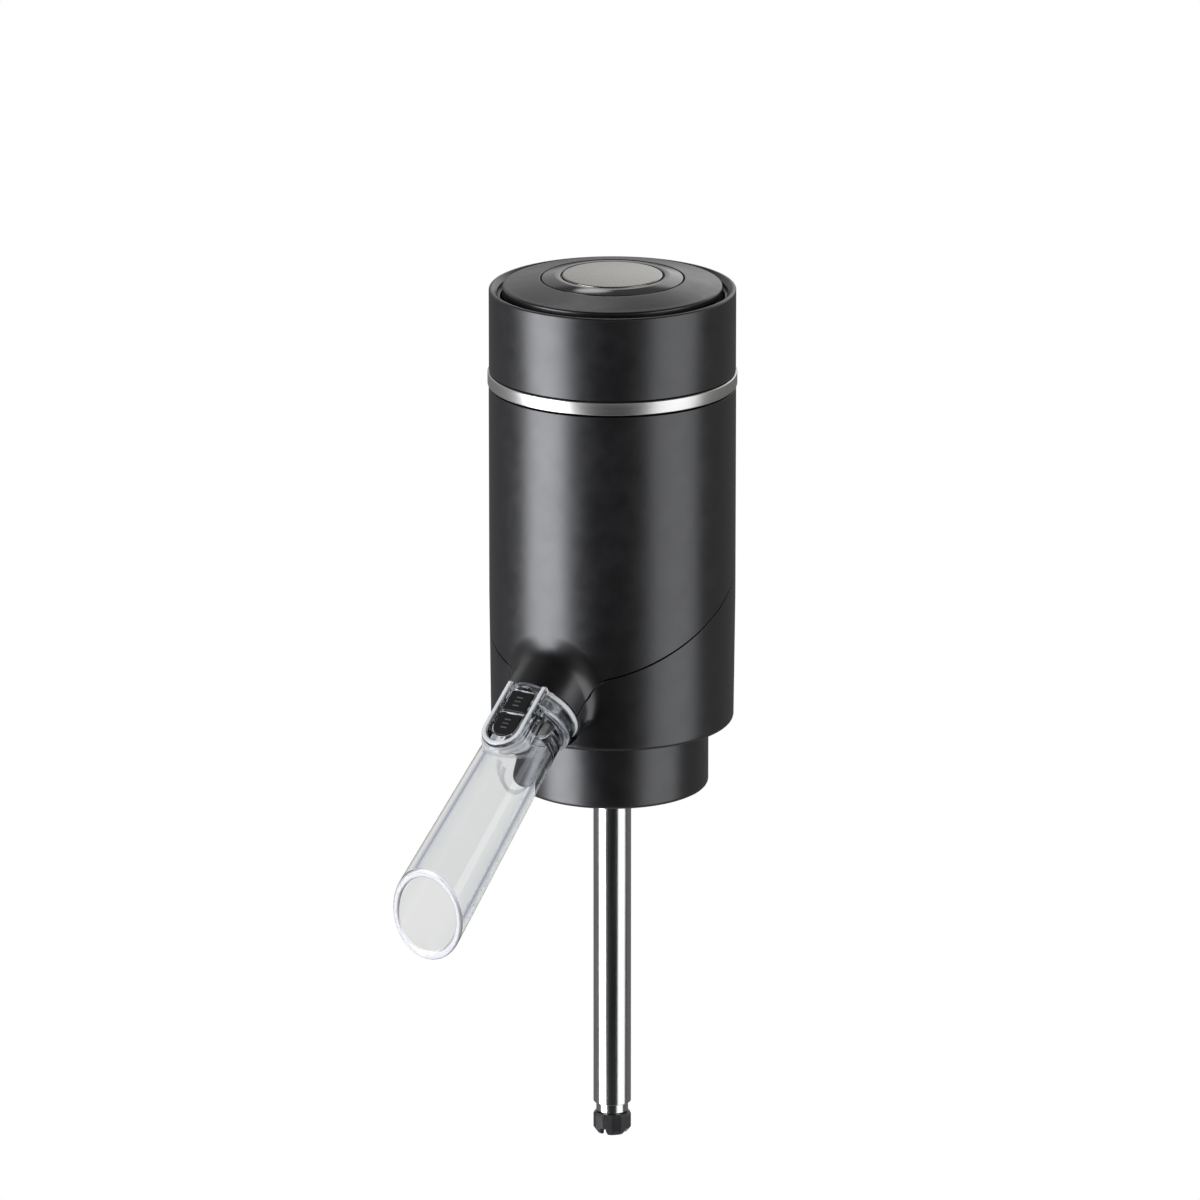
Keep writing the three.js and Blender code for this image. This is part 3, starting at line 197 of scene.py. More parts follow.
def spout_place(points):
    """Across, above and down the spout's axis, for points in the body's frame."""
    shifted = points - axis_start
    return shifted @ across, shifted @ upper, shifted @ down_axis


def from_spout(points):
    """The body's frame again, for points across, above and down the spout's axis."""
    return axis_start + points @ spout_axes


def housing_field(points):
    """Both housings' outside: the drafted body and the nozzle that flares into it."""
    x, y, height = parts_of(points)
    side = np.hypot(x, y) - np.interp(
        height, [lower_foot + foot_round, seam_height], [foot_radius, body_radius])
    body = common(side, lower_foot - height, foot_round)
    x, up, far = spout_place(points)
    rho = np.maximum(np.hypot(x, up), tiny)
    nozzle = np.maximum(rho - nozzle_radius, nozzle_start - far)
    cosine, sine = x / rho, up / rho
    level = np.sqrt(body_radius ** 2 - (nozzle_radius * cosine) ** 2)
    entry = level - nozzle_radius * sine * math.sin(pitch)
    room = nozzle_end - clearance - entry / math.cos(pitch)
    return join(body, nozzle, np.clip(room, least_fillet, nozzle_fillet))


def seam_field(points):
    """Height above the seam: the oblique plane, and the nozzle's middle plane on the nozzle."""
    _, y, height = parts_of(points)
    oblique = (height - seam_height) * math.cos(seam_slope) - y * math.sin(seam_slope)
    x, up, far = spout_place(points)
    rise = up - nozzle_seam
    half_width = nozzle_radius + clearance + rise * wedge_slope
    side = (half_width - np.abs(x)) / math.hypot(1, wedge_slope)
    wedge = np.maximum(common(-rise, -side, wedge_edge), wedge_start - far)
    return common(oblique, -wedge, seam_blend)


def slot_field(points, half_width, half_height, middle):
    """Distance outside a slot with round ends, on the body's back."""
    x, y, height = parts_of(points)
    run = np.maximum(np.abs(x) - (half_width - half_height), 0)
    slot = np.hypot(run, height - middle) - half_height
    return np.where(y > 0, slot, half_width)


# Surfaces from fields

def gradient(field, points, step):
    parts = [(field(points + e) - field(points - e)) / (2 * step) for e in np.eye(3) * step]
    return np.stack(parts, axis=-1)


def unit(vectors):
    return vectors / np.maximum(np.linalg.norm(vectors, axis=-1), least_length)[:, None]


def normals_of(field, points):
    """The directions in which the field rises, one for each point."""
    return unit(gradient(field, points, normal_step))


def settle(field, points, step=0.005, limit=0.15, rounds=3):
    """Moves points onto the field's zero surface, each round by no more than the limit."""
    least_slope = 0.05
    for _ in range(rounds):
        slope = gradient(field, points, step)
        size = np.maximum((slope ** 2).sum(-1), least_slope)
        points = points - slope * np.clip(field(points) / size, -limit, limit)[:, None]
    return points


def even(low, high, cell):
    """Grid lines a cell apart along each axis."""
    return [np.arange(a, b + cell, cell) for a, b in zip(low, high)]


cell_corners = [(i, j, k) for i in (0, 1) for j in (0, 1) for k in (0, 1)]


def at_corner(array, corner):
    """The array's values at one corner of every cell of its grid."""
    return array[tuple(slice(c, size - 1 + c) for c, size in zip(corner, array.shape))]


def cell_points(values, active, axes):
    """A point in each active cell: the mean of the places where its edges cross zero."""
    cells = np.argwhere(active)
    total, count = np.zeros((len(cells), 3)), np.zeros(len(cells))
    for a in cell_corners:
        for b in cell_corners:
            if sum(b) - sum(a) != 1 or any(q < p for p, q in zip(a, b)):
                continue
            va, vb = at_corner(values, a)[active], at_corner(values, b)[active]
            crossed = (va < 0) != (vb < 0)
            share = np.where(crossed, va / np.where(crossed, va - vb, 1), 0)[:, None]
            spot = cells + np.array(a) + share * (np.array(b) - np.array(a))
            total += np.where(crossed[:, None], spot, 0)
            count += crossed
    spots = total / count[:, None]
    return np.stack([np.interp(spots[:, i], np.arange(len(axes[i])), axes[i]) for i in range(3)], axis=-1)


def cell_quads(inside, number):
    """A quad round each grid edge that crosses zero, facing out, between numbered cells."""
    quads = []
    for axis in range(3):
        one, two = (axis + 1) % 3, (axis + 2) % 3
        first, second = [slice(None)] * 3, [slice(None)] * 3
        first[axis], second[axis] = slice(None, -1), slice(1, None)
        a, b = inside[tuple(first)], inside[tuple(second)]
        for leaving, turn in ((a & ~b, 1), (~a & b, -1)):
            places = np.argwhere(leaving)
            fits = np.ones(len(places), bool)
            for side in (one, two):
                fits &= (places[:, side] > 0) & (places[:, side] < number.shape[side])
            places = places[fits]
            around = []
            for step_one, step_two in ((-1, -1), (0, -1), (0, 0), (-1, 0)):
                cell_of = places.copy()
                cell_of[:, one] += step_one
                cell_of[:, two] += step_two
                around.append(number[tuple(cell_of.T)])
            quads.append(np.stack(around, axis=-1)[:, ::turn])
    return np.concatenate(quads)


def net(field, axes):
    """Quads over the field's zero surface on a grid, open where the surface leaves the grid."""
    values = field(np.stack(np.meshgrid(*axes, indexing="ij"), axis=-1))
    inside = values < 0
    filled = sum(at_corner(inside, corner).astype(np.int8) for corner in cell_corners)
    active = (filled > 0) & (filled < len(cell_corners))
    number = np.full(active.shape, -1)
    number[active] = np.arange(active.sum())
    return settle(field, cell_points(values, active, axes)), cell_quads(inside, number)


def sides_of(face):
    """Each corner of a face with the next one."""
    return zip(face, [*face[1:], face[0]])


def clip(points, faces, field):
    """Keeps what lies where the field is positive, and cuts the faces that cross it."""
    values = field(points)
    keep = values >= 0
    added, cut, kept = [], {}, []

    def crossing(a, b):
        key = (min(a, b), max(a, b))
        if key not in cut:
            share = values[a] / (values[a] - values[b])
            cut[key] = len(points) + len(added)
            added.append(points[a] + share * (points[b] - points[a]))
        return cut[key]

    for face in faces:
        flags = [keep[v] for v in face]
        if all(flags):
            kept.append(tuple(face))
        elif any(flags):
            corners = []
            for a, b in sides_of(face):
                if keep[a]:
                    corners.append(a)
                if keep[a] != keep[b]:
                    corners.append(crossing(a, b))
            kept.append(tuple(corners))
    points = np.concatenate([points, np.array(added).reshape(-1, 3)])
    used = np.unique([v for face in kept for v in face])
    number = np.zeros(len(points), int)
    number[used] = np.arange(len(used))
    return points[used], [tuple(int(number[v]) for v in face) for face in kept]


def border_of(faces):
    """The sides that only one face has, in that face's direction."""
    sides = dict.fromkeys(side for face in faces for side in sides_of(face))
    return [(a, b) for a, b in sides if (b, a) not in sides]


def away_from_border(points, normals, border, spots):
    """Directions in the skin that point off its border, at the border's points."""
    outward = np.zeros_like(points)
    for a, b in border:
        side = np.cross(points[b] - points[a], normals[a])
        outward[a] += side
        outward[b] += side
    out = outward[spots]
    out -= (out * normals[spots]).sum(-1)[:, None] * normals[spots]
    return unit(out)


def shell(points, faces, field, thickness, edge):
    """A closed wall behind an open skin, with a round edge along the skin's border.

    Gives the points, the faces and one normal for each corner of each face."""
    normals = normals_of(field, points)
    border = border_of(faces)
    spots = sorted({v for pair in border for v in pair})
    where = {v: i for i, v in enumerate(spots)}
    out = away_from_border(points, normals, border, spots)
    back = normals[spots]
    rings, ring_normals = [points[spots]], [back]
    for turn in (30, 60, 90):
        s, c = math.sin(math.radians(turn)), math.cos(math.radians(turn))
        rings.append(points[spots] + edge * (out * s - back * (1 - c)))
        ring_normals.append(back * c + out * s)
    depth = thickness(points)
    rings.append(rings[-1] - back * (depth[spots] - edge)[:, None])
    ring_normals.append(out)
    inner = points - normals * depth[:, None]
    inner[spots] = rings[-1]
    total, size = len(points), len(spots)
    everything = np.concatenate([points, inner, *rings[1:-1]])

    def spot(ring, v):
        if ring == 0:
            return v
        if ring == len(rings) - 1:
            return total + v
        return 2 * total + (ring - 1) * size + where[v]

    made, shading = [], []
    for face in faces:
        made.append(face)
        shading.append([normals[v] for v in face])
    for face in faces:
        made.append(tuple(total + v for v in reversed(face)))
        shading.append([-normals[v] for v in reversed(face)])
    for a, b in border:
        for ring in range(len(rings) - 1):
            made.append((spot(ring, b), spot(ring, a), spot(ring + 1, a), spot(ring + 1, b)))
            low, high = ring_normals[ring], ring_normals[ring + 1]
            shading.append([low[where[b]], low[where[a]], high[where[a]], high[where[b]]])
    return everything, made, shading


# Meshes

def put(name, points, faces, shading=None, smooth_angle=None):
    """A mesh object, in metres, with given corner normals or smooth up to an angle."""
    mesh = bpy.data.meshes.new(name)
    mesh.from_pydata((np.asarray(points) * MM).tolist(), [], [tuple(int(v) for v in f) for f in faces])
    mesh.shade_smooth()
    if shading is not None:
        mesh.normals_split_custom_set([n for corner in shading for n in corner])
    if smooth_angle is not None:
        mesh.set_sharp_from_angle(angle=math.radians(smooth_angle))
    mesh.update()
    piece = bpy.data.objects.new(name, mesh)
    bpy.context.scene.collection.objects.link(piece)
    return piece


def stand_for(piece, body, slot, node, finish=None):
    """Puts a piece in the place of a node, on its body and with its slot's finish."""
    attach(piece, body)
    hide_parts(node)
    piece.data.materials.append(finishes[finish or slot])


def softened(corners, steps=5):
    """A closed profile of (radius, height, rounding) corners, as (radius, height) points."""
    made = []
    for i, (x, y, rounding) in enumerate(corners):
        here = np.array([x, y])
        before = np.array(corners[i - 1][:2]) - here
        after = np.array(corners[(i + 1) % len(corners)][:2]) - here
        if rounding <= 0:
            made.append((x, y))
            continue
        u, v = before / np.linalg.norm(before), after / np.linalg.norm(after)
        half = math.acos(np.clip(u @ v, -1, 1)) / 2
        setback = rounding / math.tan(half)
        centre = here + (u + v) / np.linalg.norm(u + v) * rounding / math.sin(half)
        start = here + u * setback - centre
        end = here + v * setback - centre
        a, b = math.atan2(start[1], start[0]), math.atan2(end[1], end[0])
        sweep = (b - a + math.pi) % (2 * math.pi) - math.pi
        for k in range(steps + 1):
            angle = a + sweep * k / steps
            made.append(tuple(centre + rounding * np.array([math.cos(angle), math.sin(angle)])))
    return made


def turned(name, corners, sides=lathe_sides, smooth_angle=40):
    """A profile of (radius, height, rounding) corners, outer side upwards, turned about Z."""
    profile = softened(corners)
    points, rings = [], []
    for radius, height in profile:
        if radius < tiny:
            rings.append([len(points)] * sides)
            points.append((0, 0, height))
            continue
        rings.append(list(range(len(points), len(points) + sides)))
        for k in range(sides):
            angle = 2 * math.pi * k / sides
            points.append((radius * math.cos(angle), radius * math.sin(angle), height))
    faces = []
    closed = profile[0][0] > tiny
    for i in range(len(rings) if closed else len(rings) - 1):
        low, high = rings[i], rings[(i + 1) % len(rings)]
        for k in range(sides):
            n = (k + 1) % sides
            corner = [low[k], low[n], high[n], high[k]]
            face = [v for j, v in enumerate(corner) if v != corner[j - 1]]
            if len(face) > 2:
                faces.append(tuple(face))
    return put(name, points, faces, smooth_angle=smooth_angle)


# Shader nodes

def add_node(tree, kind, inputs=None, **settings):
    """A shader node with its settings. Each input is a value or another node's output."""
    node = tree.nodes.new(f"ShaderNode{kind}")
    for key, value in settings.items():
        setattr(node, key, value)
    for key, value in (inputs or {}).items():
        if isinstance(value, bpy.types.NodeSocket):
            tree.links.new(value, node.inputs[key])
        else:
            node.inputs[key].default_value = value
    return node


def ramp(tree, value, start, end, low, high, interpolation="LINEAR"):
    """A value that goes from low to high as another goes from start to end."""
    inputs = {"Value": value, "From Min": start, "From Max": end, "To Min": low, "To Max": high}
    return add_node(tree, "MapRange", inputs, interpolation_type=interpolation).outputs["Result"]


def mix(tree, factor, low, high, clamp=True):
    """A colour between two. The Mix node's colour sockets can be had by number only."""
    inputs = {0: factor, 6: low, 7: high}
    return add_node(tree, "Mix", inputs, data_type="RGBA", clamp_factor=clamp).outputs[2]


# Materials

noise_low, noise_high = 0.3, 0.7
cloud_size, cloud_change = 9, 0.06
smudge_size, smudge_change = 4, 0.03
grain_detail, line_detail, wave_detail = 2, 6, 1


class Finish:
    """A Principled material whose colour, roughness and relief come from noise in real sizes."""

    def __init__(self, name, colour, roughness, metallic=0.0, **sockets):
        self.material = bpy.data.materials.new(name)
        self.material.use_nodes = True
        self.tree = self.material.node_tree
        self.shader = self.tree.nodes["Principled BSDF"]
        self.colour, self.roughness = colour, roughness
        plain = {"Base Color": (*colour, 1), "Roughness": roughness, "Metallic": metallic}
        for key, value in {**plain, **sockets}.items():
            self.shader.inputs[key.replace("_", " ")].default_value = value
        self.place = add_node(self.tree, "TexCoord").outputs["Object"]

    def drive(self, socket, source):
        """Links one of the shader's sockets to another node's output."""
        self.tree.links.new(source, self.shader.inputs[socket])
        return self

    def noise(self, size, stretch=(1, 1, 1), detail=4.0):
        """Noise whose grains are about size millimetres, stretched along an axis."""
        scale = tuple(1 / (MM * size * s) for s in stretch)
        place = add_node(self.tree, "Mapping", {"Vector": self.place, "Scale": scale}).outputs["Vector"]
        inputs = {"Vector": place, "Scale": 1.0, "Detail": detail}
        return add_node(self.tree, "TexNoise", inputs).outputs["Fac"]

    def spread(self, factor, low, high):
        """The middle of a noise's range, where nearly all of it lies, spread from low to high."""
        return ramp(self.tree, factor, noise_low, noise_high, low, high)

    def noted(self, name):
        """The values noted on the mesh's points."""
        return add_node(self.tree, "Attribute", attribute_name=name).outputs["Fac"]

    def tint(self, factor, change):
        """Colour that varies by a share either way."""
        low, high = ((*[c * share for c in self.colour], 1) for share in (1 - change, 1 + change))
        return self.drive("Base Color", mix(self.tree, self.spread(factor, 0, 1), low, high))

    def polish(self, factor, change):
        """Roughness that varies by an amount either way."""
        rough = self.spread(factor, self.roughness - change, self.roughness + change)
        return self.drive("Roughness", rough)

    def follow(self, name, socket, low, high):
        """A shader value that follows the noted values."""
        return self.drive(socket, ramp(self.tree, self.noted(name), 0, 1, low, high))

    def mark(self, name, colour):
        """Another colour where the mesh's points are noted."""
        base = self.shader.inputs["Base Color"].links[0].from_socket
        return self.drive("Base Color", mix(self.tree, self.noted(name), base, (*colour, 1)))

    def relief(self, factor, height):
        """Bump whose height is in millimetres."""
        inputs = {"Strength": 1.0, "Distance": height * MM, "Height": factor}
        return self.drive("Normal", add_node(self.tree, "Bump", inputs).outputs["Normal"])


def moulded(name, colour, roughness, grain, height, **sockets):
    """Moulded plastic or rubber: fine grain, slightly cloudy colour and gloss."""
    finish = Finish(name, colour, roughness, **sockets)
    finish.tint(finish.noise(cloud_size), cloud_change)
    finish.polish(finish.noise(smudge_size), smudge_change)
    return finish.relief(finish.noise(grain, detail=grain_detail), height).material


def printed(name, colour, roughness, grain, height, marks):
    """Rubber with paler marks."""
    finish = Finish(name, colour, roughness)
    finish.tint(finish.noise(cloud_size), cloud_change).mark("bars", marks)
    return finish.relief(finish.noise(grain, detail=grain_detail), height).material


def brushed(name, colour, roughness, stretch, change=0.08, height=0.0004):
    """Brushed metal, with its lines along the stretched axes."""
    line_width = 0.12
    finish = Finish(name, colour, roughness, metallic=1.0)
    lines = finish.noise(line_width, stretch, line_detail)
    finish.tint(lines, change).polish(lines, change / 2)
    return finish.relief(lines, height).material


def clear(name, colour, roughness):
    """Clear moulded acrylic: slightly wavy, with a painted highlight on chosen edges, which are made less
    clear and rougher so they show pale.
    """
    shade_size, shade_change = 14, 0.01
    wave_size, wave_height = 5, 0.003
    highlight_transmission, highlight_roughness = 0.25, 0.2
    finish = Finish(name, colour, roughness, Transmission_Weight=1.0, IOR=1.49, Specular_IOR_Level=0.9)
    finish.tint(finish.noise(shade_size), shade_change)
    # Painted highlight: where the mask is set, the spout lets less light through and is rougher, so those
    # edges show pale.
    finish.follow("painted_edge_highlight", "Transmission Weight", 1.0, highlight_transmission)
    finish.follow("painted_edge_highlight", "Roughness", roughness, highlight_roughness)
    return finish.relief(finish.noise(wave_size, detail=wave_detail), wave_height).material


round_lines, straight_lines, upright_lines, no_lines = (400, 400, 1), (60, 1, 1), (1, 1, 200), (1, 1, 1)

# Each row gives the colour and roughness, then the size and height of the grain in millimetres,
# or for a metal the stretch of its lines.
finishes = {
    "soft_black": moulded("soft_black", (0.0034, 0.0034, 0.0040), 0.345, 0.16, 0.0006,
                          Specular_IOR_Level=0.9),
    "satin_black": moulded("satin_black", (0.005, 0.005, 0.0055), 0.3, 0.2, 0.0004,
                           Specular_IOR_Level=0.7),
    "gloss_black": moulded("gloss_black", (0.004, 0.004, 0.0045), 0.09, 1.5, 0.0001,
                           Specular_IOR_Level=0.8),
    "rubber_black": printed("rubber_black", (0.006, 0.006, 0.0062), 0.5, 0.12, 0.001,
                            marks=(0.035, 0.035, 0.036)),
    "steel": brushed("steel", (0.62, 0.61, 0.59), 0.33, round_lines, change=0.03, height=0.00001),
    "drawn_steel": brushed("drawn_steel", (0.60, 0.60, 0.59), 0.2, upright_lines, height=0.0001),
    "screw_steel": brushed("screw_steel", (0.5, 0.5, 0.5), 0.34, no_lines),
    "warm_steel": brushed("warm_steel", (0.32, 0.305, 0.286), 0.27, straight_lines, change=0.05),
    "pump_plastic": moulded("pump_plastic", (0.72, 0.71, 0.67), 0.45, 0.3, 0.001),
    "board_green": moulded("board_green", (0.02, 0.11, 0.05), 0.35, 0.5, 0.001),
    "frame_grey": moulded("frame_grey", (0.05, 0.05, 0.055), 0.5, 0.25, 0.001),
    "white_rubber": moulded("white_rubber", (0.66, 0.65, 0.61), 0.42, 0.3, 0.001,
                            Subsurface_Weight=0.2, Subsurface_Scale=0.002),
    "cell_sleeve": moulded("cell_sleeve", (0.03, 0.16, 0.42), 0.3, 0.4, 0.0005),
    "wire_red": moulded("wire_red", (0.35, 0.02, 0.02), 0.4, 0.3, 0.0005),
    "clear_spout": clear("clear_spout", (0.975, 0.985, 0.99), 0.015),
}


# Pieces. Each corner of a turned profile is (radius, height, rounding).

def housings():
    """The two housings: one skin, parted along the seam."""
    margin, front_margin, top_margin, port_gap = 1.5, 5, 1, 0.4
    side = body_radius + margin
    low = (-side, -nozzle_end - front_margin, lower_foot - margin)
    high = (side, side, body_top + top_margin)
    points, faces = net(housing_field, even(low, high, body_cell))
    port_low, port_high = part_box("charge_port")
    port_middle = (port_low.z + port_high.z) / 2 / MM
    port_half_width = port_high.x / MM + port_gap
    port_half_height = (port_high.z - port_low.z) / 2 / MM + port_gap

    def outside_cuts(p):
        x, y, height = parts_of(p)
        hole = np.maximum(np.hypot(x, y) - collar_hole, height - lower_foot - foot_round)
        slot = slot_field(p, port_half_width, port_half_height, port_middle)
        x, up, far = spout_place(p)
        opening = np.maximum(nozzle_end - far, np.hypot(x, up) - nozzle_radius - 2 * clearance)
        return np.minimum.reduce([opening, hole, slot, body_top - body_edge - height])

    def thickness(p):
        return np.interp(
            p[..., 2], [lower_foot + foot_round, lower_foot + 3 * foot_round], [foot_wall, wall])

    points, faces = clip(points, faces, outside_cuts)
    half_gap = seam_gap / 2 + seam_round
    for name, sign in (("upper_housing", 1), ("lower_housing", -1)):
        part = clip(points, faces, lambda p, sign=sign: sign * seam_field(p) - half_gap)
        made = shell(*part, housing_field, thickness, seam_round)
        stand_for(put(f"{name}_skin", *made), "root", "soft_black", name)


def head():
    """The head's wall, with its bevelled rim, a step inside it and the ledge for the cover."""
    rim_width, bevel, rim_wall = 0.75, 0.85, 1.75
    step_width, step_depth = 0.65, 1.7
    ledge_play, ledge_depth, ledge_under = 0.95, 4, 5.5
    hollow, inner = head_radius - head_wall, head_radius - rim_wall
    ledge_radius = flange_radius + ledge_play
    ledge_top, ledge_foot = head_top - ledge_depth, head_top - ledge_under
    stand_for(turned("head_ring", [
        (hollow, head_foot, 0.1),
        (head_radius, head_foot, 0.3),
        (head_radius, head_top, 0.45),
        (head_radius - rim_width, head_top, 0.25),
        (inner, head_top - bevel, 0.2),
        (inner, head_top - step_depth, 0.1),
        (inner - step_width, head_top - step_depth, 0.15),
        (inner - step_width, ledge_top, 0),
        (ledge_radius, ledge_top, 0),
        (ledge_radius, ledge_foot, 0),
        (hollow, ledge_foot, 0),
    ]), "root", "soft_black", "head_shell")


def trim():
    """The steel band between body and head."""
    hollow = head_radius - head_wall
    stand_for(turned("trim_ring", [
        (hollow, band_foot, 0),
        (band_radius, band_foot, 0.3),
        (band_radius, band_top, 0.3),
        (hollow, band_top, 0),
    ]), "root", "steel", "trim_band")


def cover():
    """The domed ring round the button. Its crown flattens towards the hole."""
    hole, hole_round, dome, curve = 15.1, 0.12, 1.5, 0.6
    inset, first_share, dome_points = 0.35, 0.08, 14
    thickness, skirt, web = 1.5, 4.6, 2
    edge, border = cover_top - dome, cover_radius - inset
    span = border - hole
    crown = [(border - span * s, edge + dome * math.sin(s * curve) / math.sin(curve), 0)
             for s in np.linspace(first_share, 1, dome_points)]
    crown[-1] = (*crown[-1][:2], hole_round)
    stand_for(turned("cover_dome", [
        (cover_radius - thickness, cover_foot, 0),
        (cover_radius, cover_foot, 0),
        (cover_radius, edge, 0.5),
        *crown,
        (hole, cover_top - skirt, 0),
        (hole + thickness, cover_top - skirt, 0),
        (hole + thickness, cover_top - web, 0),
        (cover_radius - thickness, edge - thickness, 0),
    ]), "root", "satin_black", "top_cover")


def button():
    """The gloss ring with its wide bevel, and the metal disc in it."""
    cap_radius, cap_wall, flange = 14.8, 1.4, 0.7
    bevel_width, bevel_height = 2.8, 0.6
    disc_play, disc_lift = 0.35, 0.3
    recess, seat = disc_radius + disc_play, disc_foot - disc_lift
    stand_for(turned("button_ring", [
        (0, seat - cap_wall, 0),
        (cap_radius - cap_wall, seat - cap_wall, 0),
        (cap_radius - cap_wall, cap_foot, 0),
        (flange_radius, cap_foot, 0),
        (flange_radius, cap_foot + flange, 0),
        (cap_radius, cap_foot + flange, 0),
        (cap_radius, cap_top - bevel_height, 0.18),
        (cap_radius - bevel_width, cap_top, 0.6),
        (recess, cap_top, 0.3),
        (recess, seat, 0),
        (0, seat, 0),
    ]), "button", "gloss_black", "button_cap")
    stand_for(turned("button_plate", [
        (0, disc_foot, 0),
        (disc_radius, disc_foot, 0),
        (disc_radius, disc_top, 0.3),
        (0, disc_top, 0),
    ]), "button", "warm_steel", "button_disc")


def spring():
    """The button's return spring, a fixed coil on the root that doesn't shorten as the button goes down.
    """
    foot, top, radius = reach("button_spring")
    wire, turns, steps, sides = 0.35, 5, 48, 10
    turn = np.linspace(0, turns, turns * steps + 1)
    height = np.interp(turn, [0, turns], [foot + wire, top - wire])
    points = []
    for t, h in zip(turn * 2 * math.pi, height):
        for k in range(sides):
            angle = 2 * math.pi * k / sides
            rho = radius - wire + wire * math.cos(angle)
            points.append((rho * math.cos(t), rho * math.sin(t), h + wire * math.sin(angle)))
    faces = []
    for i in range(turns * steps):
        for k in range(sides):
            a, b = i * sides + k, i * sides + (k + 1) % sides
            faces.append((a, a + sides, b + sides, b))
    last = turns * steps * sides
    faces += [tuple(range(sides)), tuple(last + k for k in reversed(range(sides)))]
    coil = put("spring_coil", points, faces, smooth_angle=60)
    stand_for(coil, "root", "steel", "button_spring")
    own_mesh(coil)


def collar():
    """The sleeve under the body, with its roof and the flange that holds it in the housing."""
    bore, roof, thickness = collar_radius - collar_wall, 2.8, 2
    flange = lower_foot + wall + clearance
    stand_for(turned("collar_sleeve", [
        (bore, collar_foot, 0.5),
        (collar_radius, collar_foot, 1.0),
        (collar_radius, flange, 0),
        (retainer_radius, flange, 0.2),
        (retainer_radius, flange + thickness, 0.2),
        (collar_radius, flange + thickness, 0),
        (collar_radius, roof + thickness, 0),
        (passage_radius, roof + thickness, 0),
        (passage_radius, roof, 0),
        (bore, roof, 0.4),
    ]), "root", "soft_black", "neck_collar")


def stopper():
    """The tapered rubber plug with its ribs, hanging from a flange whose lower side is at zero."""
    plug, taper, rib, ribs = 9.2, 0.8, 0.55, 3
    rib_foot, rib_peak, rib_top = -0.2, 0.35, 0.9
    spacing = -stopper_foot / (ribs + 1)
    ribbed = []
    for i in range(1, ribs + 1):
        height = stopper_foot + i * spacing
        radius = plug - taper * (1 - i / (ribs + 1))
        ribbed += [(radius, height + rib_foot, 0.15),
                   (radius + rib, height + rib_peak, 0.25),
                   (radius, height + rib_top, 0.15)]
    stand_for(turned("stopper_plug", [
        (passage_radius, stopper_foot, 0.3),
        (plug - taper, stopper_foot, 0.4),
        *ribbed,
        (plug, 0, 0.4),
        (stopper_radius, 0, 0.3),
        (stopper_radius, stopper_top, 0.3),
        (passage_radius, stopper_top, 0),
    ], plug_sides), "root", "rubber_black", "bottle_stopper")


def dip_tube():
    """The three stages of the telescopic tube."""
    tube_wall, inner_round, outer_round = 0.4, 0.08, 0.12
    for stage, body in (("upper", "root"), ("middle", "dip_middle"), ("lower", "dip_lower")):
        foot, top, radius = reach(f"dip_tube_{stage}")
        stand_for(turned(f"tube_{stage}", [
            (radius - tube_wall, foot, inner_round),
            (radius, foot, outer_round),
            (radius, top, outer_round),
            (radius - tube_wall, top, inner_round),
        ], tube_sides), body, "steel", f"dip_tube_{stage}", "drawn_steel")


def pad_plans():
    """Outline of each pad and the middle of its bars. The second pad has a rounded end."""
    first = ring_start + pad_start
    second = first + pad_length + pad_gap
    end = second + pad_length + pad_gap
    return [
        (lambda x, far: box_plan(x, far, pad_half, first, first + pad_length, pad_corner),
         first + pad_length / 2),
        (lambda x, far: bullet_plan(x, far, pad_half, second, end),
         (second + end) / 2 - bars_shift),
    ]


def lip_plan(x, far, half):
    """Distance outside the outline round both pads, for its half width."""
    return bullet_plan(x, far, half, ring_start - overrun, rim_centre + half)


def spout_outside(points):
    """The clear spout without its bore and pockets: tube, collar ring, saddle, frame and spigot."""
    x, up, far = parts_of(points)
    rho, ring_rho = np.hypot(x, up), np.hypot(x, up - ring_rise)
    tube = common(rho - root_radius - flare * (far - flare_start), tube_top - far, small)
    ring = common(ring_rho - ring_radius, between(far, ring_start, ring_end), soft)
    hollow = common(ring_rho - ring_radius + ring_wall, far - ring_end + ring_wall, small)
    ring = common(ring, -hollow, crisp)
    saddle = bullet_plan(x, far, saddle_half, ring_start, saddle_end)
    saddle = common(saddle, between(up, 0, saddle_top), broad)
    rim = bullet_plan(x, far, rim_half, ring_start, rim_end)
    rim = common(rim, between(up, 0, rim_top), rim_round)
    dish = np.maximum(lip_plan(x, far, lip_half), rim_top - lip_height - up)
    bead = np.hypot(ring_rho - ring_radius + bead_inset, far - ring_start - bead_place) - bead_radius
    rim = join(common(rim, -dish, small), bead, bead_blend)
    block = common(join(saddle, rim, soft), -hollow, crisp)
    spigot = between(far, ring_start - spigot_length, ring_end)
    spigot = common(rho - spigot_radius, spigot, soft)
    return join(join(join(tube, ring, crisp), block, small), spigot, small)


def spout_field(points):
    """The clear spout, in its own frame: across, above and down its axis."""
    x, up, far = parts_of(points)
    cut = up * math.sin(mouth_slope) + (far - mouth) * math.cos(mouth_slope)
    solid = common(spout_outside(points), cut, broad)
    bore = np.interp(
        far, [ring_start + spigot_neck, flare_start, mouth + mouth_radius],
        [spigot_bore, root_radius - spout_wall, mouth_radius + flare * mouth_radius - spout_wall])
    solid = common(solid, bore - np.hypot(x, up), broad)
    for plan, _ in pad_plans():
        pocket = np.maximum(plan(x, far), rim_top - pad_depth - up)
        solid = common(solid, -pocket, small)
    return solid


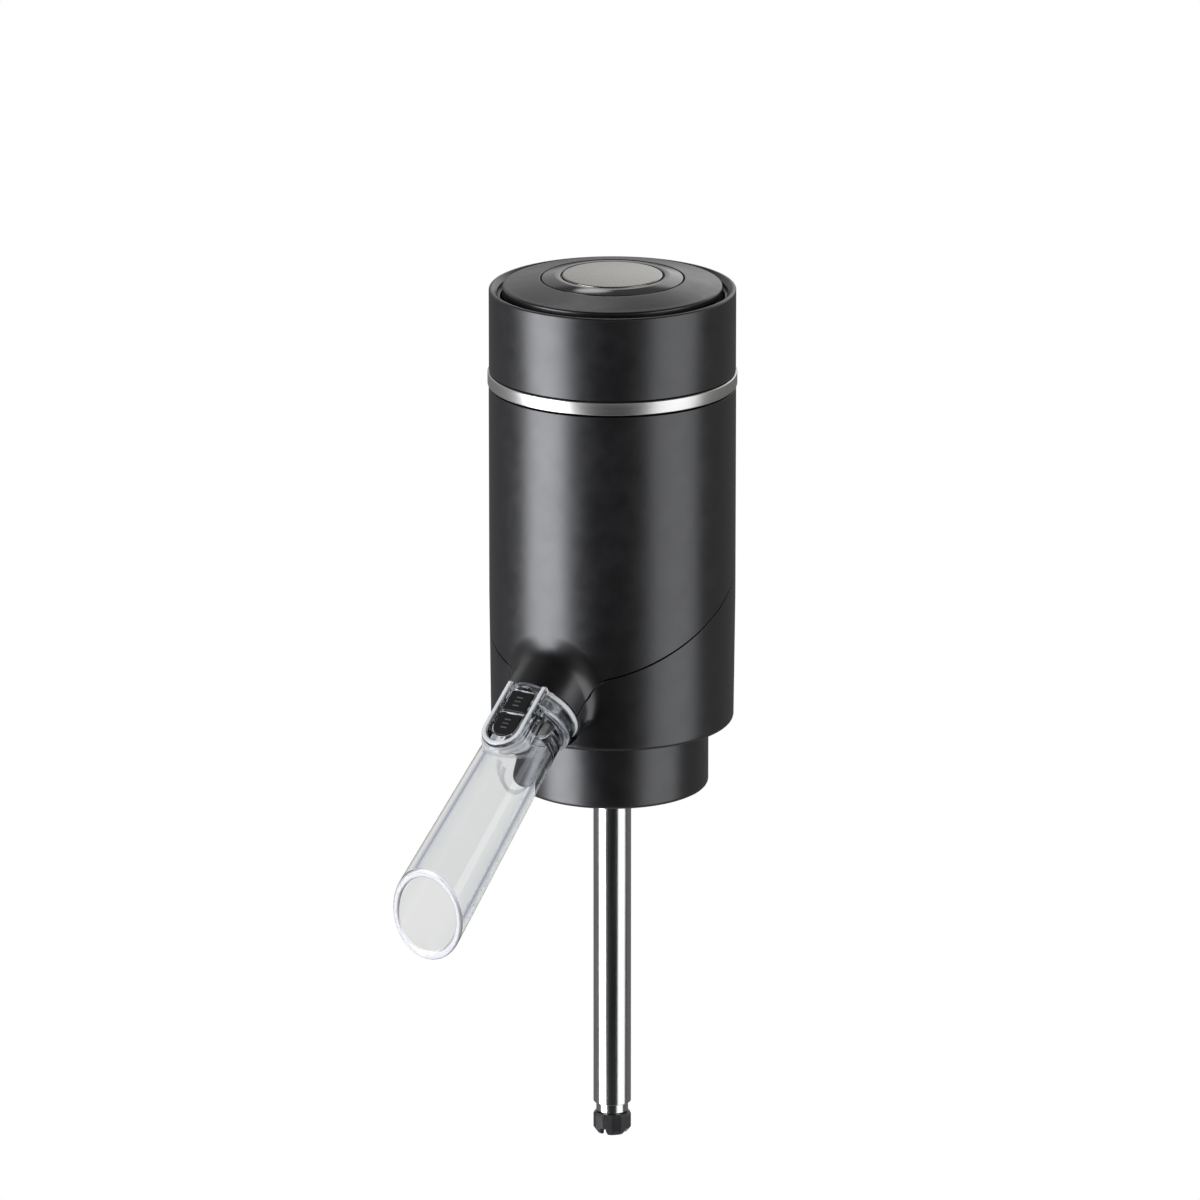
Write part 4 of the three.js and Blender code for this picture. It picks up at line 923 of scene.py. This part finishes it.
def painted_edge_highlight(points):
    """Mask of the painted highlight on the clear spout's edges: the lip and the ring's bead get it in
    full, and the feet of frame and saddle, the ring's back and the mouth get a dimmer share."""
    line, inset, rim_depth = 0.5, 0.2, 0.5
    bead_light, bead_middle, back_light, skirt_rise = 0.8, 0.4, 0.7, 0.4
    back_limit, back_softness = -1, 3
    bright_fade, dim_fade, dim_share = 0.15, 0.3, 0.55
    x, up, far = parts_of(points)
    ring_rho = np.hypot(x, up - ring_rise)
    lip = np.abs(lip_plan(x, far, (rim_half + lip_half) / 2)) - line
    lip = np.maximum(lip, rim_top - lip_height - up)
    bead = np.hypot(ring_rho - ring_radius, far - ring_start - bead_middle) - bead_light
    bead = np.where((up > 0) & (np.abs(x) < lip_half), 1, bead)
    back = np.hypot(ring_rho - ring_radius + bead_inset, far - ring_end + bead_inset) - back_light
    back = np.maximum(back, (up - back_limit) / back_softness)
    foot = np.abs(bullet_plan(x, far, saddle_half, ring_start, saddle_end) + inset) - line
    foot = np.maximum(foot, saddle_end - saddle_half - far)
    skirt = np.abs(bullet_plan(x, far, rim_half, ring_start, rim_end) + inset) - line
    skirt = np.maximum(skirt, rim_centre - far)
    skirt = np.maximum(skirt, np.abs(up - saddle_top - skirt_rise) - line)
    rim = -rim_depth - up * math.sin(mouth_slope) - (far - mouth) * math.cos(mouth_slope)
    bright, dim = np.minimum(lip, bead), np.minimum.reduce([foot, skirt, back, rim])
    return np.maximum(np.clip(-bright / bright_fade, 0, 1), dim_share * np.clip(-dim / dim_fade, 0, 1))


def spout_piece(name, field, points, faces):
    """A mesh made in the spout's frame, with the field's own normals."""
    normals = normals_of(field, points) @ spout_axes
    return put(name, from_spout(points), faces, [[normals[v] for v in face] for face in faces])


def note(piece, name, values):
    """A value for each point, which the piece's material reads."""
    piece.data.attributes.new(name, "FLOAT", "POINT").data.foreach_set("value", values)


def spout():
    """The clear spout, on a grid that is coarser down the plain stretch of its tube."""
    margin = 0.5
    side = ring_radius + margin
    head_end, mouth_start = saddle_end + overrun, mouth - mouth_radius
    far = np.concatenate([
        np.arange(ring_start - spigot_length - margin, head_end, spout_cell),
        np.arange(head_end, mouth_start, tube_step),
        np.arange(mouth_start, mouth + mouth_radius, spout_cell),
    ])
    grid = [*even((-side, -side), (side, rim_top + margin), spout_cell), far]
    points, faces = net(spout_field, grid)
    piece = spout_piece("clear_spout", spout_field, points, faces)
    # The mask of the painted highlight along the spout's edges, read by its material.
    note(piece, "painted_edge_highlight", painted_edge_highlight(points))
    stand_for(piece, "spout", "clear_spout", "spout")


def bars(x, far, middle):
    """Distance outside the three short bars of a pad."""
    half = bar_width / 2
    return np.minimum.reduce([
        box_plan(x, far, bar_half, middle + shift - half, middle + shift + half, bar_corner)
        for shift in (-bar_pitch, 0, bar_pitch)])


def pad_field(plan, middle):
    """A pad with a soft edge and a stack of raised bars."""
    foot, top = rim_top - pad_depth + pad_play, rim_top - pad_sunk
    pad_round, bar_round, bar_fillet = 0.2, 0.1, 0.06

    def field(points):
        x, up, far = parts_of(points)
        pad = common(plan(x, far) + pad_play, between(up, foot, top), pad_round)
        raised = common(bars(x, far, middle), between(up, top - bar_rise, top + bar_rise), bar_round)
        return join(pad, raised, bar_fillet)
    return field


def pads():
    """The two pads, whose bars are noted for their paler colour."""
    margin, least_rise, fade = 0.3, 0.03, 0.05
    side = pad_half + margin
    for i, (plan, middle) in enumerate(pad_plans(), 1):
        low = (-side, rim_top - pad_depth - margin, middle - pad_length)
        high = (side, rim_top + margin, middle + pad_length)
        field = pad_field(plan, middle)
        points, faces = net(field, even(low, high, pad_cell))
        piece = spout_piece(f"pad_{i}", field, points, faces)
        x, up, far = parts_of(points)
        pale = np.maximum(bars(x, far, middle), rim_top - pad_sunk + least_rise - up)
        note(piece, "bars", np.clip(-pale / fade, 0, 1))
        stand_for(piece, "spout", "rubber_black", f"spout_pad_{i}")


def carried_over():
    """Procedural finishes for the pieces that stay as they are."""
    slots = {row["node"]: row["material_slot"] for row in frame["record"]["subparts"]}
    for name, node in frame["nodes"].items():
        if not node.hide_render:
            node.data.materials.clear()
            node.data.materials.append(finishes[slots[name]])


# Studio

photo_azimuth, photo_pitch = 31.0, 16.56
photo_distance, photo_lens, film_width = 2300.0, 327.9, 36
aim_height, aim_shift = 22.93, 2.6
key_side, fill_side, behind = -64.5, 60, 180
lamp_pitch, lamp_distance, lamp_height, lamp_target = -5, 1000, 1800, (0, 0, 30)
floor_height, floor_radius, floor_sides = -262.0, 440.0, 64
fade_start, fade_end = 120, 420


def from_azimuth(azimuth, elevation, distance):
    """A point at a distance from the origin. The front is at 0 degrees, the right at 90."""
    a, e = math.radians(azimuth), math.radians(elevation)
    return np.array([math.sin(a) * math.cos(e), -math.cos(a) * math.cos(e), math.sin(e)]) * distance


def placed(name, data, place, target):
    """A camera or lamp at a place, aimed at a target."""
    thing = bpy.data.objects.new(name, data)
    bpy.context.scene.collection.objects.link(thing)
    thing.location = place * MM
    direction = [t * MM - c for t, c in zip(target, thing.location)]
    thing.rotation_euler = Vector(direction).to_track_quat("-Z", "Y").to_euler()
    return thing


def camera():
    """The photograph's view: from a long way off, a little above and to the right."""
    data = bpy.data.cameras.new("camera")
    data.lens, data.sensor_width = photo_lens, film_width
    data.clip_start, data.clip_end = 0.1, 20
    a = math.radians(photo_azimuth)
    right = np.array([math.cos(a), math.sin(a), 0])
    target = np.array([0, 0, aim_height]) - right * aim_shift
    place = target + from_azimuth(photo_azimuth, photo_pitch, photo_distance)
    bpy.context.scene.camera = placed("camera", data, place, target)


def softbox(name, side, width, power, colour):
    """A tall soft lamp to one side, hidden from the camera and from what shows through the spout."""
    data = bpy.data.lights.new(name, "AREA")
    data.shape, data.size, data.size_y = "RECTANGLE", width * MM, lamp_height * MM
    data.energy, data.color = power, colour
    lamp = placed(name, data, from_azimuth(photo_azimuth + side, lamp_pitch, lamp_distance), lamp_target)
    lamp.visible_camera = lamp.visible_transmission = False


def lamps():
    softbox("key_left", key_side, width=730, power=24, colour=(0.94, 0.95, 1))
    softbox("fill_right", fill_side, width=870, power=8.7, colour=(0.96, 0.97, 1))


def world():
    """White for the camera, a pale panel behind for what mirrors, and pale patches in blue grey
    for what shows through the clear spout."""
    made = bpy.data.worlds.new("studio")
    bpy.context.scene.world = made
    made.use_nodes = True
    tree = made.node_tree
    tree.nodes.clear()
    place = add_node(tree, "TexCoord").outputs["Generated"]
    ray = add_node(tree, "LightPath").outputs

    def math_node(operation, a, b):
        return add_node(tree, "Math", {0: a, 1: b}, operation=operation).outputs[0]

    def towards(direction):
        """Cosine of the angle between the ray and a direction."""
        dot = add_node(tree, "VectorMath", {0: place, 1: tuple(direction)}, operation="DOT_PRODUCT")
        return dot.outputs["Value"]

    def step(value, start, end, low, high):
        return ramp(tree, value, start, end, low, high, "SMOOTHSTEP")

    def patch(side, elevation, inner, outer, low, high):
        """A soft round patch of the backdrop: high inside one half angle, low outside another."""
        middle = towards(from_azimuth(photo_azimuth + side, elevation, 1))
        return step(middle, math.cos(math.radians(outer)), math.cos(math.radians(inner)), low, high)

    # What mirrors: a panel behind that is brighter on the right, a faint glow and a small patch
    height = towards((0, 0, 1))
    right = towards(from_azimuth(photo_azimuth + 90, 0, 1))
    panel = step(height, start=-0.08, end=0.16, low=0, high=1)
    panel = math_node("MULTIPLY", panel, step(height, start=0.46, end=0.56, low=1, high=0.1))
    panel = math_node("MULTIPLY", panel, patch(behind, 10, inner=30, outer=75, low=0.2, high=0.8))
    panel = math_node("MULTIPLY", panel, step(right, start=-0.2, end=0.2, low=0.45, high=1.5))
    mirrored = math_node("ADD", patch(behind, 0, inner=70, outer=95, low=0.01, high=0.17), panel)
    button_light = patch(behind + 5, 38.8, inner=1.5, outer=4.5, low=0, high=3)
    mirrored = math_node("ADD", mirrored, button_light)

    # What shows through: pale behind the spout and at the two lamps, blue grey elsewhere
    through = patch(behind, -16.5, inner=15, outer=48, low=0, high=1)
    for side, strength in ((key_side, 1.3), (fill_side, 0.9)):
        lamp_patch = patch(side, lamp_pitch, inner=20, outer=36, low=0, high=strength)
        through = math_node("MAXIMUM", through, lamp_patch)
    tone = mix(tree, through, (0.32, 0.35, 0.42, 1), (0.81, 0.805, 0.79, 1), clamp=False)

    room_level = 0.2
    level = math_node("MULTIPLY", ray["Is Diffuse Ray"], room_level)
    level = math_node("ADD", level, math_node("MULTIPLY", ray["Is Glossy Ray"], mirrored))
    level = math_node("MAXIMUM", level, ray["Is Camera Ray"])
    plain = add_node(tree, "Background", {"Color": (1, 1, 1, 1), "Strength": level})
    seen_through = add_node(tree, "Background", {"Color": tone})
    parts = {0: ray["Is Transmission Ray"], 1: plain.outputs[0], 2: seen_through.outputs[0]}
    background = add_node(tree, "MixShader", parts)
    add_node(tree, "OutputWorld", {"Surface": background.outputs[0]})


def floor():
    """A pale floor under the longest reach of the dip tube, fading into the white around it."""
    rim = [(floor_radius * math.cos(a), floor_radius * math.sin(a), floor_height)
           for a in np.linspace(0, 2 * math.pi, floor_sides, endpoint=False)]
    faces = [(0, i, i % floor_sides + 1) for i in range(1, floor_sides + 1)]
    ground = put("floor", [(0, 0, floor_height), *rim], faces)
    finish = Finish("floor", (0.9, 0.9, 0.9), 0.9)
    length = add_node(finish.tree, "VectorMath", {0: finish.place}, operation="LENGTH").outputs["Value"]
    fade = ramp(finish.tree, length, fade_start * MM, fade_end * MM, 1, 0, "SMOOTHSTEP")
    ground.data.materials.append(finish.drive("Alpha", fade).material)


for make in (housings, head, trim, cover, button, spring, collar, stopper, dip_tube, spout, pads,
             carried_over, camera, lamps, world, floor):
    make()

bpy.context.scene.view_settings.view_transform = "Standard"
